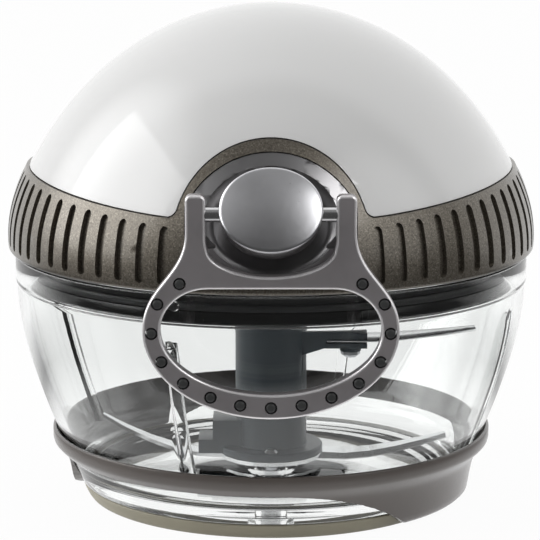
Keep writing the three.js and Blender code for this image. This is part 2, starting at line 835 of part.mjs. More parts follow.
function lowerBlade() {
  const bladeZ = hubFlangeZ - seatGap - bladeThickness;
  const settings = {
    root: 0,
    flat: lowerArmReach + seatGap,
    tip: bowlRadiusAt(bladeZ) - bowlWall - lowerBladeTipGap,
    width: lowerBladeWidth,
    rise: lowerBladeRise,
    sweep: lowerBladeSweep,
    z: bladeZ,
  };
  let body = bladeWing(settings);
  body = body.add(bladeWing(settings).rotate([0, 0, 180]));
  body = body.add(toSolid(rod(hubFlangeRadius, bladeZ, bladeZ + bladeThickness, midFacets)));
  body = body.subtract(
    toSolid(rod(hubRadius + seatGap, bladeZ - overrun, bladeZ + overrun, midFacets)),
  );
  for (const side of [-1, 1]) {
    const hole = rod(rivetRadius + seatGap, bladeZ - overrun, bladeZ + overrun, tinyFacets);
    body = body.subtract(toSolid(hole.translate(0, side * rivetPlace, 0)));
  }
  return body;
}

piece('upper_blade', upperBlade(), steel());
piece('lower_blade', lowerBlade(), steel());

// Screws: a shank with a domed head, head up or head down
function screw(shank, length, head, headHeight, direction) {
  const rise = direction * headHeight;
  const profile = [
    [0, -direction * length],
    [shank, -direction * length],
    [shank, 0],
    [head, 0],
    [head, rise / 2],
    [head * headCrownShare, rise],
    [0, rise],
  ];
  return turnedSolid(direction > 0 ? profile : profile.reverse(), tinyFacets);
}

const upperBladeUnder = upperArmBottomZ - seatGap * 2 - bladeThickness;
const bladeStack = bladeThickness + seatGap * 2;
const bladeScrewLength = bladeStack + upperArmTopZ - upperArmBottomZ - rimRound * 3;
piece(
  'blade_screw',
  screw(bladeScrewShank, bladeScrewLength, bladeScrewHead, bladeScrewHeadHeight, -1).translate(
    bladeScrewX,
    0,
    upperBladeUnder,
  ),
  steel(),
);

// Rivets that close over the flange and the lower blade
const rivetBottom = hubFlangeZ - seatGap * 2 - bladeThickness;
const rivetTop = hubFlangeZ + hubFlangeThickness + seatGap;
for (const [name, side] of [['blade_rivet_front', -1], ['blade_rivet_rear', 1]]) {
  const rivet = turnedSolid(
    [
      [0, rivetBottom - rivetHeadHeight],
      [rivetHead, rivetBottom - rivetHeadHeight],
      [rivetHead, rivetBottom],
      [rivetRadius, rivetBottom],
      [rivetRadius, rivetTop],
      [rivetHead, rivetTop],
      [rivetHead * headCrownShare, rivetTop + rivetHeadHeight],
      [0, rivetTop + rivetHeadHeight],
    ],
    tinyFacets,
  );
  piece(name, rivet.translate(0, side * rivetPlace, 0), steel());
}

const lidFlangeZ = rimTopZ + seatGap;
const lidPlateTop = lidPlateZ + lidPlateThickness;
const housingPostTop = housingFloorZ - seatGap;

// Lid base: plate and skirt inside the bowl's rim, a flange on the rim, and reel posts
function lidBase() {
  const skirtInner = lidSkirtRadius - lidSkirtWall;
  const grooveFloor = lidSkirtRadius - sealDepth;
  const bushing = journalRadius + runningGap;
  let body = toSolid(
    turned(
      [
        [bushing, lidPlateZ],
        [lidSkirtRadius - rimRound, lidPlateZ],
        [lidSkirtRadius, lidPlateZ + rimRound],
        [lidSkirtRadius, sealZ],
        [grooveFloor, sealZ],
        [grooveFloor, sealZ + sealHeight],
        [lidSkirtRadius, sealZ + sealHeight],
        [lidSkirtRadius, lidFlangeZ],
        [lidFlangeRadius, lidFlangeZ],
        [lidFlangeRadius, lidFlangeZ + lidFlangeThickness],
        [skirtInner, lidFlangeZ + lidFlangeThickness],
        [skirtInner, lidPlateTop],
        [bushing + bushingWall, lidPlateTop],
        [bushing + bushingWall, bushingTopZ],
        [bushing, bushingTopZ],
      ],
      lidFacets,
    ),
  );
  const inPlate = lidPlateTop - lidPlateThickness / 2;
  const post = rod(postRadius, inPlate, housingPostTop, smallFacets);
  const pilotFoot = housingPostTop - domeScrewLength;
  const pilot = rod(screwRadius + seatGap, pilotFoot, housingPostTop + overrun, tinyFacets);
  for (const azimuth of postAzimuths) {
    body = body.add(toSolid(atAzimuth(post, postCircle, azimuth)));
    body = body.subtract(toSolid(atAzimuth(pilot, postCircle, azimuth)));
  }
  const hole = rod(screwHole, lidPlateZ - overrun, lidPlateTop + overrun, tinyFacets);
  for (const azimuth of domeBossAzimuths) {
    body = body.subtract(toSolid(atAzimuth(hole, domeBossCircle, azimuth)));
  }
  return body;
}

piece('lid_base', lidBase(), blackPlastic());
piece(
  'lid_seal',
  turned(
    [
      [lidSkirtRadius - sealDepth + seatGap, sealZ + seatGap],
      [lidSkirtRadius + sealProud - seatGap / 3, sealZ + seatGap],
      [lidSkirtRadius + sealProud, sealZ + sealHeight / 2],
      [lidSkirtRadius + sealProud - seatGap / 3, sealZ + sealHeight - seatGap],
      [lidSkirtRadius - sealDepth + seatGap, sealZ + sealHeight - seatGap],
    ],
    lidFacets,
  ),
  darkRubber(),
);

// The ball: an ellipse in section, which the dome, the collar's arch and the recess share
function ballRadiusAt(z) {
  const share = THREE.MathUtils.clamp((z - domeCentreZ) / domeHeight, -1, 1);
  return domeRadius * Math.sqrt(1 - share ** 2);
}

// Points on the ball from a height to the top, moved along its normal by an offset
function ballCurve(offset, fromZ, steps) {
  const start = Math.asin((fromZ - domeCentreZ) / domeHeight);
  return Array.from({ length: steps + 1 }, (_, i) => {
    const angle = THREE.MathUtils.lerp(start, Math.PI / 2, i / steps);
    const radius = (domeRadius + offset) * Math.cos(angle);
    return [i === steps ? 0 : radius, domeCentreZ + (domeHeight + offset) * Math.sin(angle)];
  });
}

// What lies below the seam, seen from the front: the collar's share of the ball
function seamAt(x) {
  return seamFrontZ + seamRise * (x / collarRadius) ** 2;
}

function seamPoints(fromX, toX, grow, steps) {
  return heights(fromX, toX, steps).map((x) => new THREE.Vector2(x, seamAt(x) + grow));
}

// Centre of the fillet between the seam and the arch, which moves with the gap only in radius
function archFilletCentre(grow) {
  const reach = archRadius + archFillet;
  const x = Math.sqrt(reach ** 2 - (seamAt(archRadius + grow) + archFillet - archCentreZ) ** 2);
  return [x, seamAt(x) + archFillet];
}

function seamSide(grow) {
  const [filletX] = archFilletCentre(grow);
  return seamPoints(domeRadius + overrun, filletX + archFillet - grow, grow, 3);
}

function archOutline(grow) {
  const radius = archRadius + grow;
  const fillet = archFillet - grow;
  const [filletX, filletZ] = archFilletCentre(grow);
  const tilt = THREE.MathUtils.radToDeg(Math.atan2(filletZ - archCentreZ, filletX));
  const corner = arcPoints(filletX, filletZ, fillet, fillet, 270, 180 + tilt, 2);
  const side = [...seamSide(grow), ...corner];
  const crown = arcPoints(0, archCentreZ, radius, radius, tilt, 180 - tilt, 12);
  return [...side, ...crown.slice(1, -1), ...mirrored(side)];
}

function collarZone(grow) {
  const wide = domeRadius + overrun;
  const below = [new THREE.Vector2(-wide, 0), new THREE.Vector2(wide, 0)];
  const front = slab([...below, ...archOutline(grow)], -wide, 0);
  const side = seamSide(grow);
  const middle = new THREE.Vector2(0, seamAt(0) + grow);
  const rear = slab([...below, ...side, middle, ...mirrored(side)], -overrun, wide);
  return toSolid(front).add(toSolid(rear));
}

// Opening in the collar's arch for the recess: a circle cut off by a flat floor
function openingOutline(grow) {
  const halfWidth = openingHalfWidth + grow;
  const radius = openingRadius + grow;
  const rise = Math.sqrt(radius ** 2 - halfWidth ** 2);
  const tilt = THREE.MathUtils.radToDeg(Math.atan2(rise, halfWidth));
  const crown = arcPoints(0, openingCentreZ, radius, radius, tilt, 180 - tilt, 12);
  const floor = openingFloorZ - grow;
  const round = openingCorner + grow;
  const corner = arcPoints(halfWidth - round, floor + round, round, round, 270, 360, 2);
  return [...mirrored(corner), ...corner, ...crown];
}

// Collar: its side bulges below the shoulder and follows the ball above it
const collarShoulder = ballRadiusAt(collarShoulderZ) + collarProud;
const collarTall = collarShoulderZ - collarFootZ;
const collarSide = new THREE.CubicBezierCurve(
  new THREE.Vector2(collarRadius, collarFootZ + collarEdge),
  new THREE.Vector2(collarRadius * collarBellyShare, collarFootZ + collarTall * collarBellyRiseShare),
  new THREE.Vector2(collarShoulder + collarBelly, collarFootZ + collarTall * collarUpperRiseShare),
  new THREE.Vector2(collarShoulder, collarShoulderZ),
);

function collarShell(outerOffset, innerOffset, facets) {
  const side = collarSide.getPoints(2).map((p) => [p.x, p.y]);
  const top = archCentreZ + archRadius + collarWall;
  const upper = heights(collarShoulderZ, top, 2).slice(1);
  const above = upper.map((z) => [ballRadiusAt(z) + collarProud, z]);
  const outer = [...side, ...above].map(([r, z]) => [r + outerOffset, z]);
  const inner = [...side, ...above].map(([r, z]) => [r + innerOffset, z]).reverse();
  const foot = [
    [collarRadius + innerOffset, collarFootZ],
    [collarRadius + outerOffset - collarEdge / 2, collarFootZ],
  ];
  return toSolid(turned([...foot, ...outer, ...inner], facets));
}

// One grip groove, pointed at its top and round at its foot, cut into a facet of the collar
function gripGroove(azimuth) {
  const angle = degrees(azimuth);
  const half = grooveWidth / 2;
  const x = collarRadius * Math.sin(angle);
  const top = seamAt(x) - grooveTopDrop;
  const outline = [
    [-half, grooveBottomZ],
    [half, grooveBottomZ],
    [half, top - half * 2],
    [0, top],
    [-half, top - half * 2],
  ].map(([u, v]) => new THREE.Vector2(u, v));
  const slot = slab(outline, -overrun, overrun);
  const lean = Math.atan2(collarRadius - collarShoulder, collarShoulderZ - collarFootZ - half);
  const outward = collarRadius + overrun - grooveDepth;
  slot.translate(0, 0, -grooveBottomZ).rotateX(-lean * grooveLeanShare);
  return slot.translate(0, -outward, grooveBottomZ).rotateZ(angle);
}

function gripCollar() {
  let body = collarShell(0, -collarWall, wideFacets).intersect(collarZone(0));
  const wide = domeRadius + overrun;
  body = body.subtract(toSolid(slab(openingOutline(0), -wide, 0)));
  const pitch = 360 / grooveCount;
  const cutters = [];
  for (let i = 0; i < grooveCount; i++) {
    const azimuth = (i + 1 / 2) * pitch;
    const fromFront = Math.min(azimuth, 360 - azimuth);
    if (fromFront > grooveFreeAngle) cutters.push(toSolid(gripGroove(azimuth)));
  }
  return body.subtract(wasm.Manifold.union(cutters));
}

piece('grip_collar', gripCollar(), bronzePlastic());

function domeCover() {
  const steps = 5;
  const fromZ = seamFrontZ - domeLapDepth * 3;
  const closedShell = (outer, inner) => {
    const outside = turnedSolid([[0, fromZ], ...ballCurve(outer, fromZ, steps)], lidFacets);
    const inside = turnedSolid([[0, fromZ - overrun], ...ballCurve(inner, fromZ, steps)], lidFacets);
    return toSolid(outside).subtract(toSolid(inside));
  };
  const lapOuter = -(collarWall - collarProud + seatGap * 2);
  let body = closedShell(0, -domeWall).subtract(collarZone(seatGap));
  const lap = closedShell(lapOuter, lapOuter - domeLapWall).intersect(collarZone(domeWall));
  body = body.add(lap.subtract(collarZone(-domeLapDepth)));
  const bossFoot = lidPlateTop + seatGap;
  const boss = rod(domeBossRadius, bossFoot, domeCentreZ + domeHeight, smallFacets);
  const inBall = ballCurve(-domeWall / 2, fromZ, steps);
  const roof = toSolid(turnedSolid([[0, bossFoot], [inBall[0][0], bossFoot], ...inBall], lidFacets));
  const pilotTop = lidPlateTop + domeScrewLength;
  const pilot = rod(screwRadius + seatGap, lidPlateTop - overrun, pilotTop, tinyFacets);
  for (const azimuth of domeBossAzimuths) {
    body = body.add(toSolid(atAzimuth(boss, domeBossCircle, azimuth)).intersect(roof));
    body = body.subtract(toSolid(atAzimuth(pilot, domeBossCircle, azimuth)));
  }
  return body;
}

piece('dome_cover', domeCover(), glossWhite());

domeBossAzimuths.forEach((azimuth, i) => {
  const shank = screw(screwRadius, domeScrewLength, screwHeadRadius, screwHeadHeight, -1);
  const seated = atAzimuth(shank, domeBossCircle, azimuth).translate(0, 0, lidPlateZ - seatGap);
  piece(`dome_screw_${i + 1}`, seated, steel());
});

// Recess behind the knob: a rim set in the collar's opening and an oval dish that leans
// with the knob, with a pocket at each side for the handle's arms
const knobAxis = new THREE.Matrix4()
  .makeTranslation(0, axleY, axleZ)
  .multiply(new THREE.Matrix4().makeRotationX(-knobTilt));

function ovalRing(halfWidth, halfHeight, offset, shift = 0) {
  return Array.from({ length: midFacets }, (_, i) => {
    const angle = (-i / midFacets) * TURN;
    const x = halfWidth * Math.cos(angle);
    return new THREE.Vector3(x, offset, shift + halfHeight * Math.sin(angle));
  });
}

function dishHollow(grow) {
  const flare = overrun / (dishFloorOffset - dishMouthOffset);
  const outX = dishMouthHalfWidth + grow + (dishMouthHalfWidth - dishFloorHalfWidth) * flare;
  const outZ = dishMouthHalfHeight + grow + (dishMouthHalfHeight - dishFloorHalfHeight) * flare;
  const rings = [
    ovalRing(outX, outZ, dishMouthOffset - overrun, dishMouthShift),
    ovalRing(dishMouthHalfWidth + grow, dishMouthHalfHeight + grow, dishMouthOffset, dishMouthShift),
    ovalRing(dishFloorHalfWidth + grow, dishFloorHalfHeight + grow, dishFloorOffset + grow),
  ];
  return toSolid(loft(rings).applyMatrix4(knobAxis));
}

function eyeletSeat(radius) {
  const bore = rod(radius, -domeRadius - overrun, -domeRadius / 2, smallFacets);
  return toSolid(bore.rotateX(-Math.PI / 2).translate(0, 0, cordZ));
}

function pullBezel() {
  const wide = domeRadius + overrun;
  const window = toSolid(slab(openingOutline(-seatGap), -wide, 0));
  const rim = collarShell(-bezelSink, -bezelSink - bezelThickness, lidFacets).intersect(window);
  const deep = collarShell(-bezelSink - bezelThickness / 2, -domeRadius / 3, lidFacets);
  const behindFace = deep.intersect(window);
  const cup = dishHollow(dishWall).intersect(behindFace);
  let body = rim.add(cup).subtract(dishHollow(0)).subtract(eyeletSeat(eyeletRadius + seatGap));
  const floor = dishFloorOffset * Math.cos(knobTilt) + axleY;
  for (const side of [-1, 1]) {
    const corners = [
      [side * pocketInnerX, pocketBottomZ],
      [side * pocketOuterX, pocketBottomZ],
      [side * pocketOuterX, pocketTopZ],
      [side * pocketInnerX, pocketTopZ],
    ].map(([x, y]) => new THREE.Vector2(x, y));
    const outline = side > 0 ? corners : corners.reverse();
    body = body.subtract(toSolid(slab(outline, -wide, floor - pocketDepth)));
  }
  return body;
}

piece('pull_bezel', pullBezel(), gunmetal());

// Eyelet: a flanged steel ring that the cord runs through, level with the reel
function cordEyelet() {
  const floorY = axleY + dishFloorOffset / Math.cos(knobTilt) + cordDrop * Math.tan(knobTilt);
  const ring = turned(
    [
      [eyeletBore, 0],
      [eyeletRadius, 0],
      [eyeletRadius, eyeletLength],
      [eyeletBore + (eyeletRadius - eyeletBore) / 2, eyeletLength + eyeletFlange],
      [eyeletBore, eyeletLength],
    ],
    smallFacets,
  );
  return ring.rotateX(Math.PI / 2).translate(0, floorY + eyeletLength / 2, cordZ);
}

piece('cord_eyelet', cordEyelet(), steel());

// Centre axle with a groove for the retainer at its top
const springCoverZ = housingFloorZ + housingHeight + seatGap;
const axleTopZ = springCoverZ + housingCoverThickness + axleStub;
const retainerZ = springCoverZ + housingCoverThickness + seatGap;

function reelAxle() {
  const groove = reelAxleRadius - retainerGroove;
  return turnedSolid(
    [
      [0, reelAxleBottomZ],
      [reelAxleRadius, reelAxleBottomZ],
      [reelAxleRadius, retainerZ],
      [groove, retainerZ],
      [groove, retainerZ + retainerThickness + seatGap * 2],
      [reelAxleRadius, retainerZ + retainerThickness + seatGap * 2],
      [reelAxleRadius, axleTopZ],
      [0, axleTopZ],
    ],
    smallFacets,
  );
}

piece('reel_axle', reelAxle(), steel());
piece(
  'axle_retainer',
  turned(
    [
      [reelAxleRadius - retainerGroove + seatGap, retainerZ + seatGap],
      [retainerRadius, retainerZ + seatGap],
      [retainerRadius, retainerZ + seatGap + retainerThickness],
      [reelAxleRadius - retainerGroove + seatGap, retainerZ + seatGap + retainerThickness],
    ],
    smallFacets,
  ),
  springSteel(),
);

// Drive coupling: a six-sided driver for the hub, a journal in the lid and the clutch disc
const spoolBore = reelAxleRadius + runningGap;

function driveCoupling() {
  const driver = plate(polygon(couplingAcrossFlats), couplingBottomZ, lidPlateZ - seatGap);
  const journalTop = clutchDiscZ + clutchDiscThickness / 2;
  const journal = rod(journalRadius, lidPlateZ - seatGap * 2, journalTop, midFacets);
  const disc = rod(clutchDiscRadius, clutchDiscZ, clutchDiscZ + clutchDiscThickness, midFacets);
  const bore = rod(spoolBore, reelAxleBottomZ - seatGap, journalTop + overrun, smallFacets);
  let body = toSolid(driver).add(toSolid(journal)).add(toSolid(disc)).subtract(toSolid(bore));
  const pinTop = clutchDiscZ + clutchDiscThickness + pawlPinHeight;
  const pin = rod(pawlPinRadius, clutchDiscZ + clutchDiscThickness / 2, pinTop, tinyFacets);
  for (let i = 0; i < pawlCount; i++) {
    body = body.add(toSolid(atAzimuth(pin, pawlCircle, (i * 360) / pawlCount)));
  }
  return body;
}

piece('drive_coupling', driveCoupling(), slatePlastic());

// Pawls: each turns on its pin and points into the ratchet ring
const pawlZ = clutchDiscZ + clutchDiscThickness + seatGap;
const ratchetInner = ratchetRadius - ratchetWall;

function clutchPawl(azimuth) {
  const reach = ratchetInner - ratchetToothDepth - pawlCircle - seatGap * 2;
  const nose = new THREE.Vector2(reach, reach * pawlLeanShare);
  const round = arcPoints(0, 0, pawlPivotRadius, pawlPivotRadius, pawlRoundFrom, pawlRoundTo, 7);
  const outline = [...round, nose, new THREE.Vector2(nose.x - pawlTipWidth, nose.y + pawlTipWidth)];
  const shape = new THREE.Shape(outline);
  const eye = arcPoints(0, 0, pawlPinRadius + seatGap, pawlPinRadius + seatGap, 360, 0, tinyFacets);
  shape.holes.push(new THREE.Path(eye.slice(1)));
  const pawl = plate(shape, pawlZ, pawlZ + pawlThickness).rotateZ(degrees(-90));
  return pawl.translate(0, -pawlCircle, 0).rotateZ(degrees(azimuth));
}

for (let i = 0; i < pawlCount; i++) {
  piece(`clutch_pawl_${i + 1}`, clutchPawl((i * 360) / pawlCount), steel());
}

// Cord spool: drum, flanges, ratchet ring underneath and the spring arbor on top
function cordSpool() {
  const lowerTop = spoolLowerFlangeZ + spoolFlangeThickness;
  const drumInner = spoolDrumRadius - spoolDrumWall;
  const arborTop = housingFloorZ + housingFloor + springHeight;
  const ratchetBottom = spoolLowerFlangeZ - ratchetDepth;
  let body = toSolid(
    turned(
      [
        [spoolBore, spoolLowerFlangeZ],
        [ratchetInner, spoolLowerFlangeZ],
        [ratchetInner, ratchetBottom],
        [ratchetRadius, ratchetBottom],
        [ratchetRadius, spoolLowerFlangeZ],
        [spoolFlangeRadius, spoolLowerFlangeZ],
        [spoolFlangeRadius, lowerTop],
        [spoolDrumRadius, lowerTop],
        [spoolDrumRadius, spoolTopFlangeZ],
        [spoolFlangeRadius, spoolTopFlangeZ],
        [spoolFlangeRadius, spoolTopZ],
        [drumInner, spoolTopZ],
        [drumInner, lowerTop],
        [spoolHubRadius, lowerTop],
        [spoolHubRadius, arborTop],
        [spoolBore, arborTop],
      ],
      midFacets,
    ),
  );
  for (let i = 0; i < ratchetTeeth; i++) {
    const tooth = [
      new THREE.Vector2(ratchetInner + ratchetWall / 2, 0),
      new THREE.Vector2(ratchetInner + ratchetWall / 2, ratchetToothDepth * 2),
      new THREE.Vector2(ratchetInner - ratchetToothDepth, 0),
    ];
    const wedge = plate(tooth, ratchetBottom, spoolLowerFlangeZ + spoolFlangeThickness / 2);
    body = body.add(toSolid(wedge.rotateZ((i / ratchetTeeth) * TURN)));
  }
  return body;
}

piece('cord_spool', cordSpool(), naturalNylon());

const windingBottom = spoolLowerFlangeZ + spoolFlangeThickness + seatGap;
const windingTop = spoolTopFlangeZ - seatGap;
piece(
  'cord_winding',
  turned(
    [
      [spoolDrumRadius + seatGap, windingBottom],
      [windingRadius + windingDepth / 2, windingBottom],
      [windingRadius + windingDepth / 2, windingTop],
      [spoolDrumRadius + seatGap, windingTop],
    ],
    midFacets,
  ),
  cordFibre(),
);

// Free cord: from the side of the winding through the eyelet into the knob
function pullCord() {
  const radius = windingRadius + windingDepth / 2 + cordRadius + seatGap;
  const guideY = axleY + dishFloorOffset + eyeletLength * 2;
  const angle = Math.acos(radius / -guideY);
  const leave = new THREE.Vector3(-radius * Math.sin(angle), -radius * Math.cos(angle), cordZ);
  const guide = new THREE.Vector3(0, guideY, cordZ);
  const route = new THREE.CatmullRomCurve3(
    [
      leave,
      leave.clone().lerp(guide, 1 / 2),
      leave.clone().lerp(guide, 1 - 1 / 8),
      guide.clone().lerp(new THREE.Vector3(0, cordEndY, cordZ), 1 / 8),
      guide.clone().lerp(new THREE.Vector3(0, cordEndY, cordZ), 1 / 2),
      new THREE.Vector3(0, cordEndY, cordZ),
    ],
    false,
    'centripetal',
  );
  const section = new THREE.Shape(arcPoints(0, 0, cordRadius, cordRadius, 0, 360, 6).slice(1));
  const settings = { steps: 16, bevelEnabled: false, extrudePath: route };
  return new THREE.ExtrudeGeometry(section, settings);
}

piece('pull_cord', pullCord(), cordFibre());

// Spring housing on the lid's posts: a cup with three ears, its cover and its screws
function springHousing() {
  const inner = housingRadius - housingWall;
  const floorTop = housingFloorZ + housingFloor;
  const throat = spoolHubRadius + runningGap;
  let body = toSolid(
    turned(
      [
        [throat, housingFloorZ],
        [housingRadius, housingFloorZ],
        [housingRadius, housingFloorZ + housingHeight],
        [inner, housingFloorZ + housingHeight],
        [inner, floorTop],
        [throat, floorTop],
      ],
      midFacets,
    ),
  );
  const ear = rod(housingEar, housingFloorZ, floorTop + housingFloor, smallFacets);
  const hollow = rod(inner, floorTop, housingFloorZ + housingHeight + overrun, midFacets);
  const hole = rod(screwHole, housingFloorZ - overrun, floorTop + overrun, tinyFacets);
  for (const azimuth of postAzimuths) {
    const place = postCircle;
    body = body.add(toSolid(atAzimuth(ear, place, azimuth)).subtract(toSolid(hollow)));
  }
  for (const azimuth of postAzimuths) {
    body = body.subtract(toSolid(atAzimuth(hole, postCircle, azimuth)));
  }
  return body;
}

piece('spring_housing', springHousing(), blackPlastic());
postAzimuths.forEach((azimuth, i) => {
  const shank = screw(screwRadius, screwLength, screwHeadRadius, screwHeadHeight, 1);
  const top = housingFloorZ + housingFloor * 2 + seatGap;
  piece(`housing_screw_${i + 1}`, atAzimuth(shank, postCircle, azimuth).translate(0, 0, top), steel());
});
piece(
  'spring_cover',
  turned(
    [
      [reelAxleRadius + seatGap, springCoverZ],
      [housingRadius, springCoverZ],
      [housingRadius, springCoverZ + housingCoverThickness],
      [reelAxleRadius + seatGap, springCoverZ + housingCoverThickness],
    ],
    midFacets,
  ),
  blackPlastic(),
);

// Return spring: a steel strip coiled from the spool's arbor out to the housing's wall
function returnSpring() {
  const turnSteps = 10;
  const inner = spoolHubRadius + seatGap;
  const flat = (housingRadius - housingWall) * Math.cos(Math.PI / midFacets);
  const outer = flat - seatGap - springStrip;
  const count = springTurns * turnSteps;
  const side = (extra) =>
    Array.from({ length: count + 1 }, (_, i) => {
      const radius = THREE.MathUtils.lerp(inner, outer, i / count) + extra;
      const angle = (i / turnSteps) * TURN;
      return new THREE.Vector2(radius * Math.cos(angle), radius * Math.sin(angle));
    });
  const outline = [...side(springStrip), ...side(0).reverse()];
  const bottom = housingFloorZ + housingFloor + seatGap;
  return plate(outline, bottom, bottom + springHeight - seatGap);
}

piece('return_spring', returnSpring(), springSteel());

// Knob, in its own frame: -Y points out along its axis
function ovalTurned(profile) {
  const geometry = turnedSolid(profile, midFacets).rotateX(Math.PI / 2);
  return geometry.scale(knobHalfWidth, 1, knobHalfHeight);
}

function knobCap() {
  const crown = heights(1, 0, 4).map((share) => [
    share * knobCrownShare,
    knobFaceOffset + knobCrown * (1 - share ** 2),
  ]);
  const rear = knobFaceOffset - knobCapThickness;
  return ovalTurned([[0, rear], [1, rear], [1, knobFaceOffset - rimRound], ...crown]);
}

function knobBody() {
  const front = knobFaceOffset - knobCapThickness - seatGap;
  const shell = ovalTurned([
    [0, -knobRearOffset],
    [knobRearShare, -knobRearOffset],
    [knobSideShare, -knobRearOffset + rimRound * 2],
    [knobSideShare, front],
    [0, front],
  ]);
  const boss = rod(knobBossRadius, knobRearOffset - rimRound, knobRearOffset + knobBossLength);
  const cross = rod(axleRadius + seatGap, -knobHalfWidth - overrun, knobHalfWidth + overrun);
  const body = toSolid(shell).add(toSolid(boss.rotateX(-Math.PI / 2)));
  const bore = rod(cordRadius + cordBore, -axleY / 2, -cordEndY + seatGap, tinyFacets);
  const toKnob = knobAxis.clone().invert();
  const level = bore.rotateX(Math.PI / 2).translate(0, 0, cordZ).applyMatrix4(toKnob);
  return body.subtract(toSolid(cross.rotateY(Math.PI / 2))).subtract(toSolid(level));
}

piece('knob_cap', knobCap(), satinSilver(), knobGroup);
piece('knob_body', knobBody(), gunmetal(), knobGroup);
piece(
  'handle_axle',
  rod(axleRadius, -axleHalfLength, axleHalfLength, smallFacets).rotateY(Math.PI / 2),
  steel(),
  handleGroup,
);

// Handle, from its axle: two arms, a cross-bar that dips in the middle, and an oval ring
function handleOutline() {
  const shoulder = [
    [armOuterX, armStraight],
    [armOuterX, crossMiddle + armRound / 2],
    [ringOuterHalfWidth, ringCentre + ringOuterDrop / 2],
    [ringOuterHalfWidth, ringCentre],
  ];
  const side = bezierPoints(shoulder, 8);
  const ring = arcPoints(0, ringCentre, ringOuterHalfWidth, ringOuterDrop, 0, -90, 8).slice(1);
  const notch = [
    ...arcPoints(armInnerX - crossRound, crossSide, crossRound, crossRound, crossFrom, 0, 3),
    ...arcPoints(armInnerX + armRound, armTop - armRound, armRound, armRound, 180, 90, 2),
    ...arcPoints(armOuterX - armRound, armTop - armRound, armRound, armRound, 90, 0, 2),
  ];
  const dipEnd = notch[0];
  const dip = heights(0, crossDipShare, 3).map((share) => {
    const x = dipEnd.x * share;
    return new THREE.Vector2(x, THREE.MathUtils.lerp(crossMiddle, dipEnd.y, share ** 2));
  });
  const right = [...dip, ...notch, ...side, ...ring];
  return [...right, ...mirrored(right).slice(1, -1)].reverse();
}

function handleHole() {
  const bulge = ringInnerHalfWidth - holeTopHalfWidth;
  const corner = arcPoints(holeTopHalfWidth, ringCentre, bulge, holeTop - ringCentre, 90, 0, 6);
  const lower = arcPoints(0, ringCentre, ringInnerHalfWidth, ringInnerDrop, 0, -90, 8).slice(1);
  const right = [...corner, ...lower];
  return [...right, ...mirrored(right).slice(1)];
}

// Line of the rubber nubs, half way across the ring
function gripLine() {
  const rise = (z) => ringCentre + z;
  const end = [gripLineEndX, rise(gripLineEndRise)];
  const bulge = [gripLineBulgeX, rise(gripLineBulgeRise)];
  const pull = [gripLineHalfWidth, rise(gripLinePull)];
  const side = [gripLineHalfWidth, ringCentre];
  const vector = ([x, y], sign) => new THREE.Vector2(sign * x, y);
  const path = new THREE.CurvePath();
  const bezier = (points, sign) =>
    new THREE.CubicBezierCurve(...points.map((point) => vector(point, sign)));
  path.add(bezier([end, bulge, pull, side], -1));
  path.add(
    new THREE.EllipseCurve(0, ringCentre, gripLineHalfWidth, gripLineDrop, Math.PI, TURN, false),
  );
  path.add(bezier([side, pull, bulge, end], 1));
  return path;
}

function stripOutline(width, reach) {
  const steps = 22;
  const points = gripLine().getSpacedPoints(steps);
  for (const [end, inner] of [[0, 1], [steps, steps - 1]]) {
    const out = points[end].clone().sub(points[inner]).setLength(reach);
    points[end].add(out);
  }
  const normals = points.map((p, i) => {
    const along = points[Math.min(i + 1, steps)].clone().sub(points[Math.max(i - 1, 0)]);
    return new THREE.Vector2(along.y, -along.x).normalize();
  });
  const side = (offset) => points.map((p, i) => p.clone().addScaledVector(normals[i], offset));
  return [...side(width / 2), ...side(-width / 2).reverse()];
}

const nubCentres = gripLine().getSpacedPoints(nubCount - 1);
const handleBack = handleThickness / 2;

function handleFrame() {
  const shape = new THREE.Shape(handleOutline());
  shape.holes.push(new THREE.Path(handleHole()));
  const plain = handleThickness - handleBevel * 2;
  const settings = {
    depth: plain,
    bevelEnabled: true,
    bevelThickness: handleBevel,
    bevelSize: handleBevel,
    bevelOffset: -handleBevel,
    bevelSegments: 1,
  };
  const body = new THREE.ExtrudeGeometry(shape, settings).translate(0, 0, -plain / 2);
  let solid = toSolid(body.rotateX(Math.PI / 2));
  const channelY = handleBack - gripStripThickness - seatGap;
  const channel = slab(
    stripOutline(gripStripWidth + seatGap * 2, gripStripWidth / 2 + seatGap),
    channelY,
    handleBack + overrun,
  );
  solid = solid.subtract(toSolid(channel));
  const hole = rod(nubHoleRadius, -handleBack - overrun, handleBack + overrun, nubFacets);
  hole.rotateX(Math.PI / 2);
  const holes = nubCentres.map((p) => toSolid(hole.clone().translate(p.x, 0, p.y)));
  const bore = rod(axleRadius + seatGap, -axleHalfLength - seatGap, axleHalfLength + seatGap);
  holes.push(toSolid(bore.rotateY(Math.PI / 2)));
  return solid.subtract(wasm.Manifold.union(holes));
}

function gripInsert() {
  const stripY = handleBack - gripStripThickness;
  const strip = toSolid(slab(stripOutline(gripStripWidth, gripStripWidth / 2), stripY, handleBack));
  const nub = rod(nubRadius, -stripY - gripStripThickness / 2, handleBack + nubProud, nubFacets);
  nub.rotateX(Math.PI / 2);
  const nubs = nubCentres.map((p) => toSolid(nub.clone().translate(p.x, 0, p.y)));
  return wasm.Manifold.union([strip, ...nubs]);
}

piece('handle_frame', handleFrame(), gunmetal(), handleGroup);
piece('grip_insert', gripInsert(), darkRubber(), handleGroup);

export default chopper;
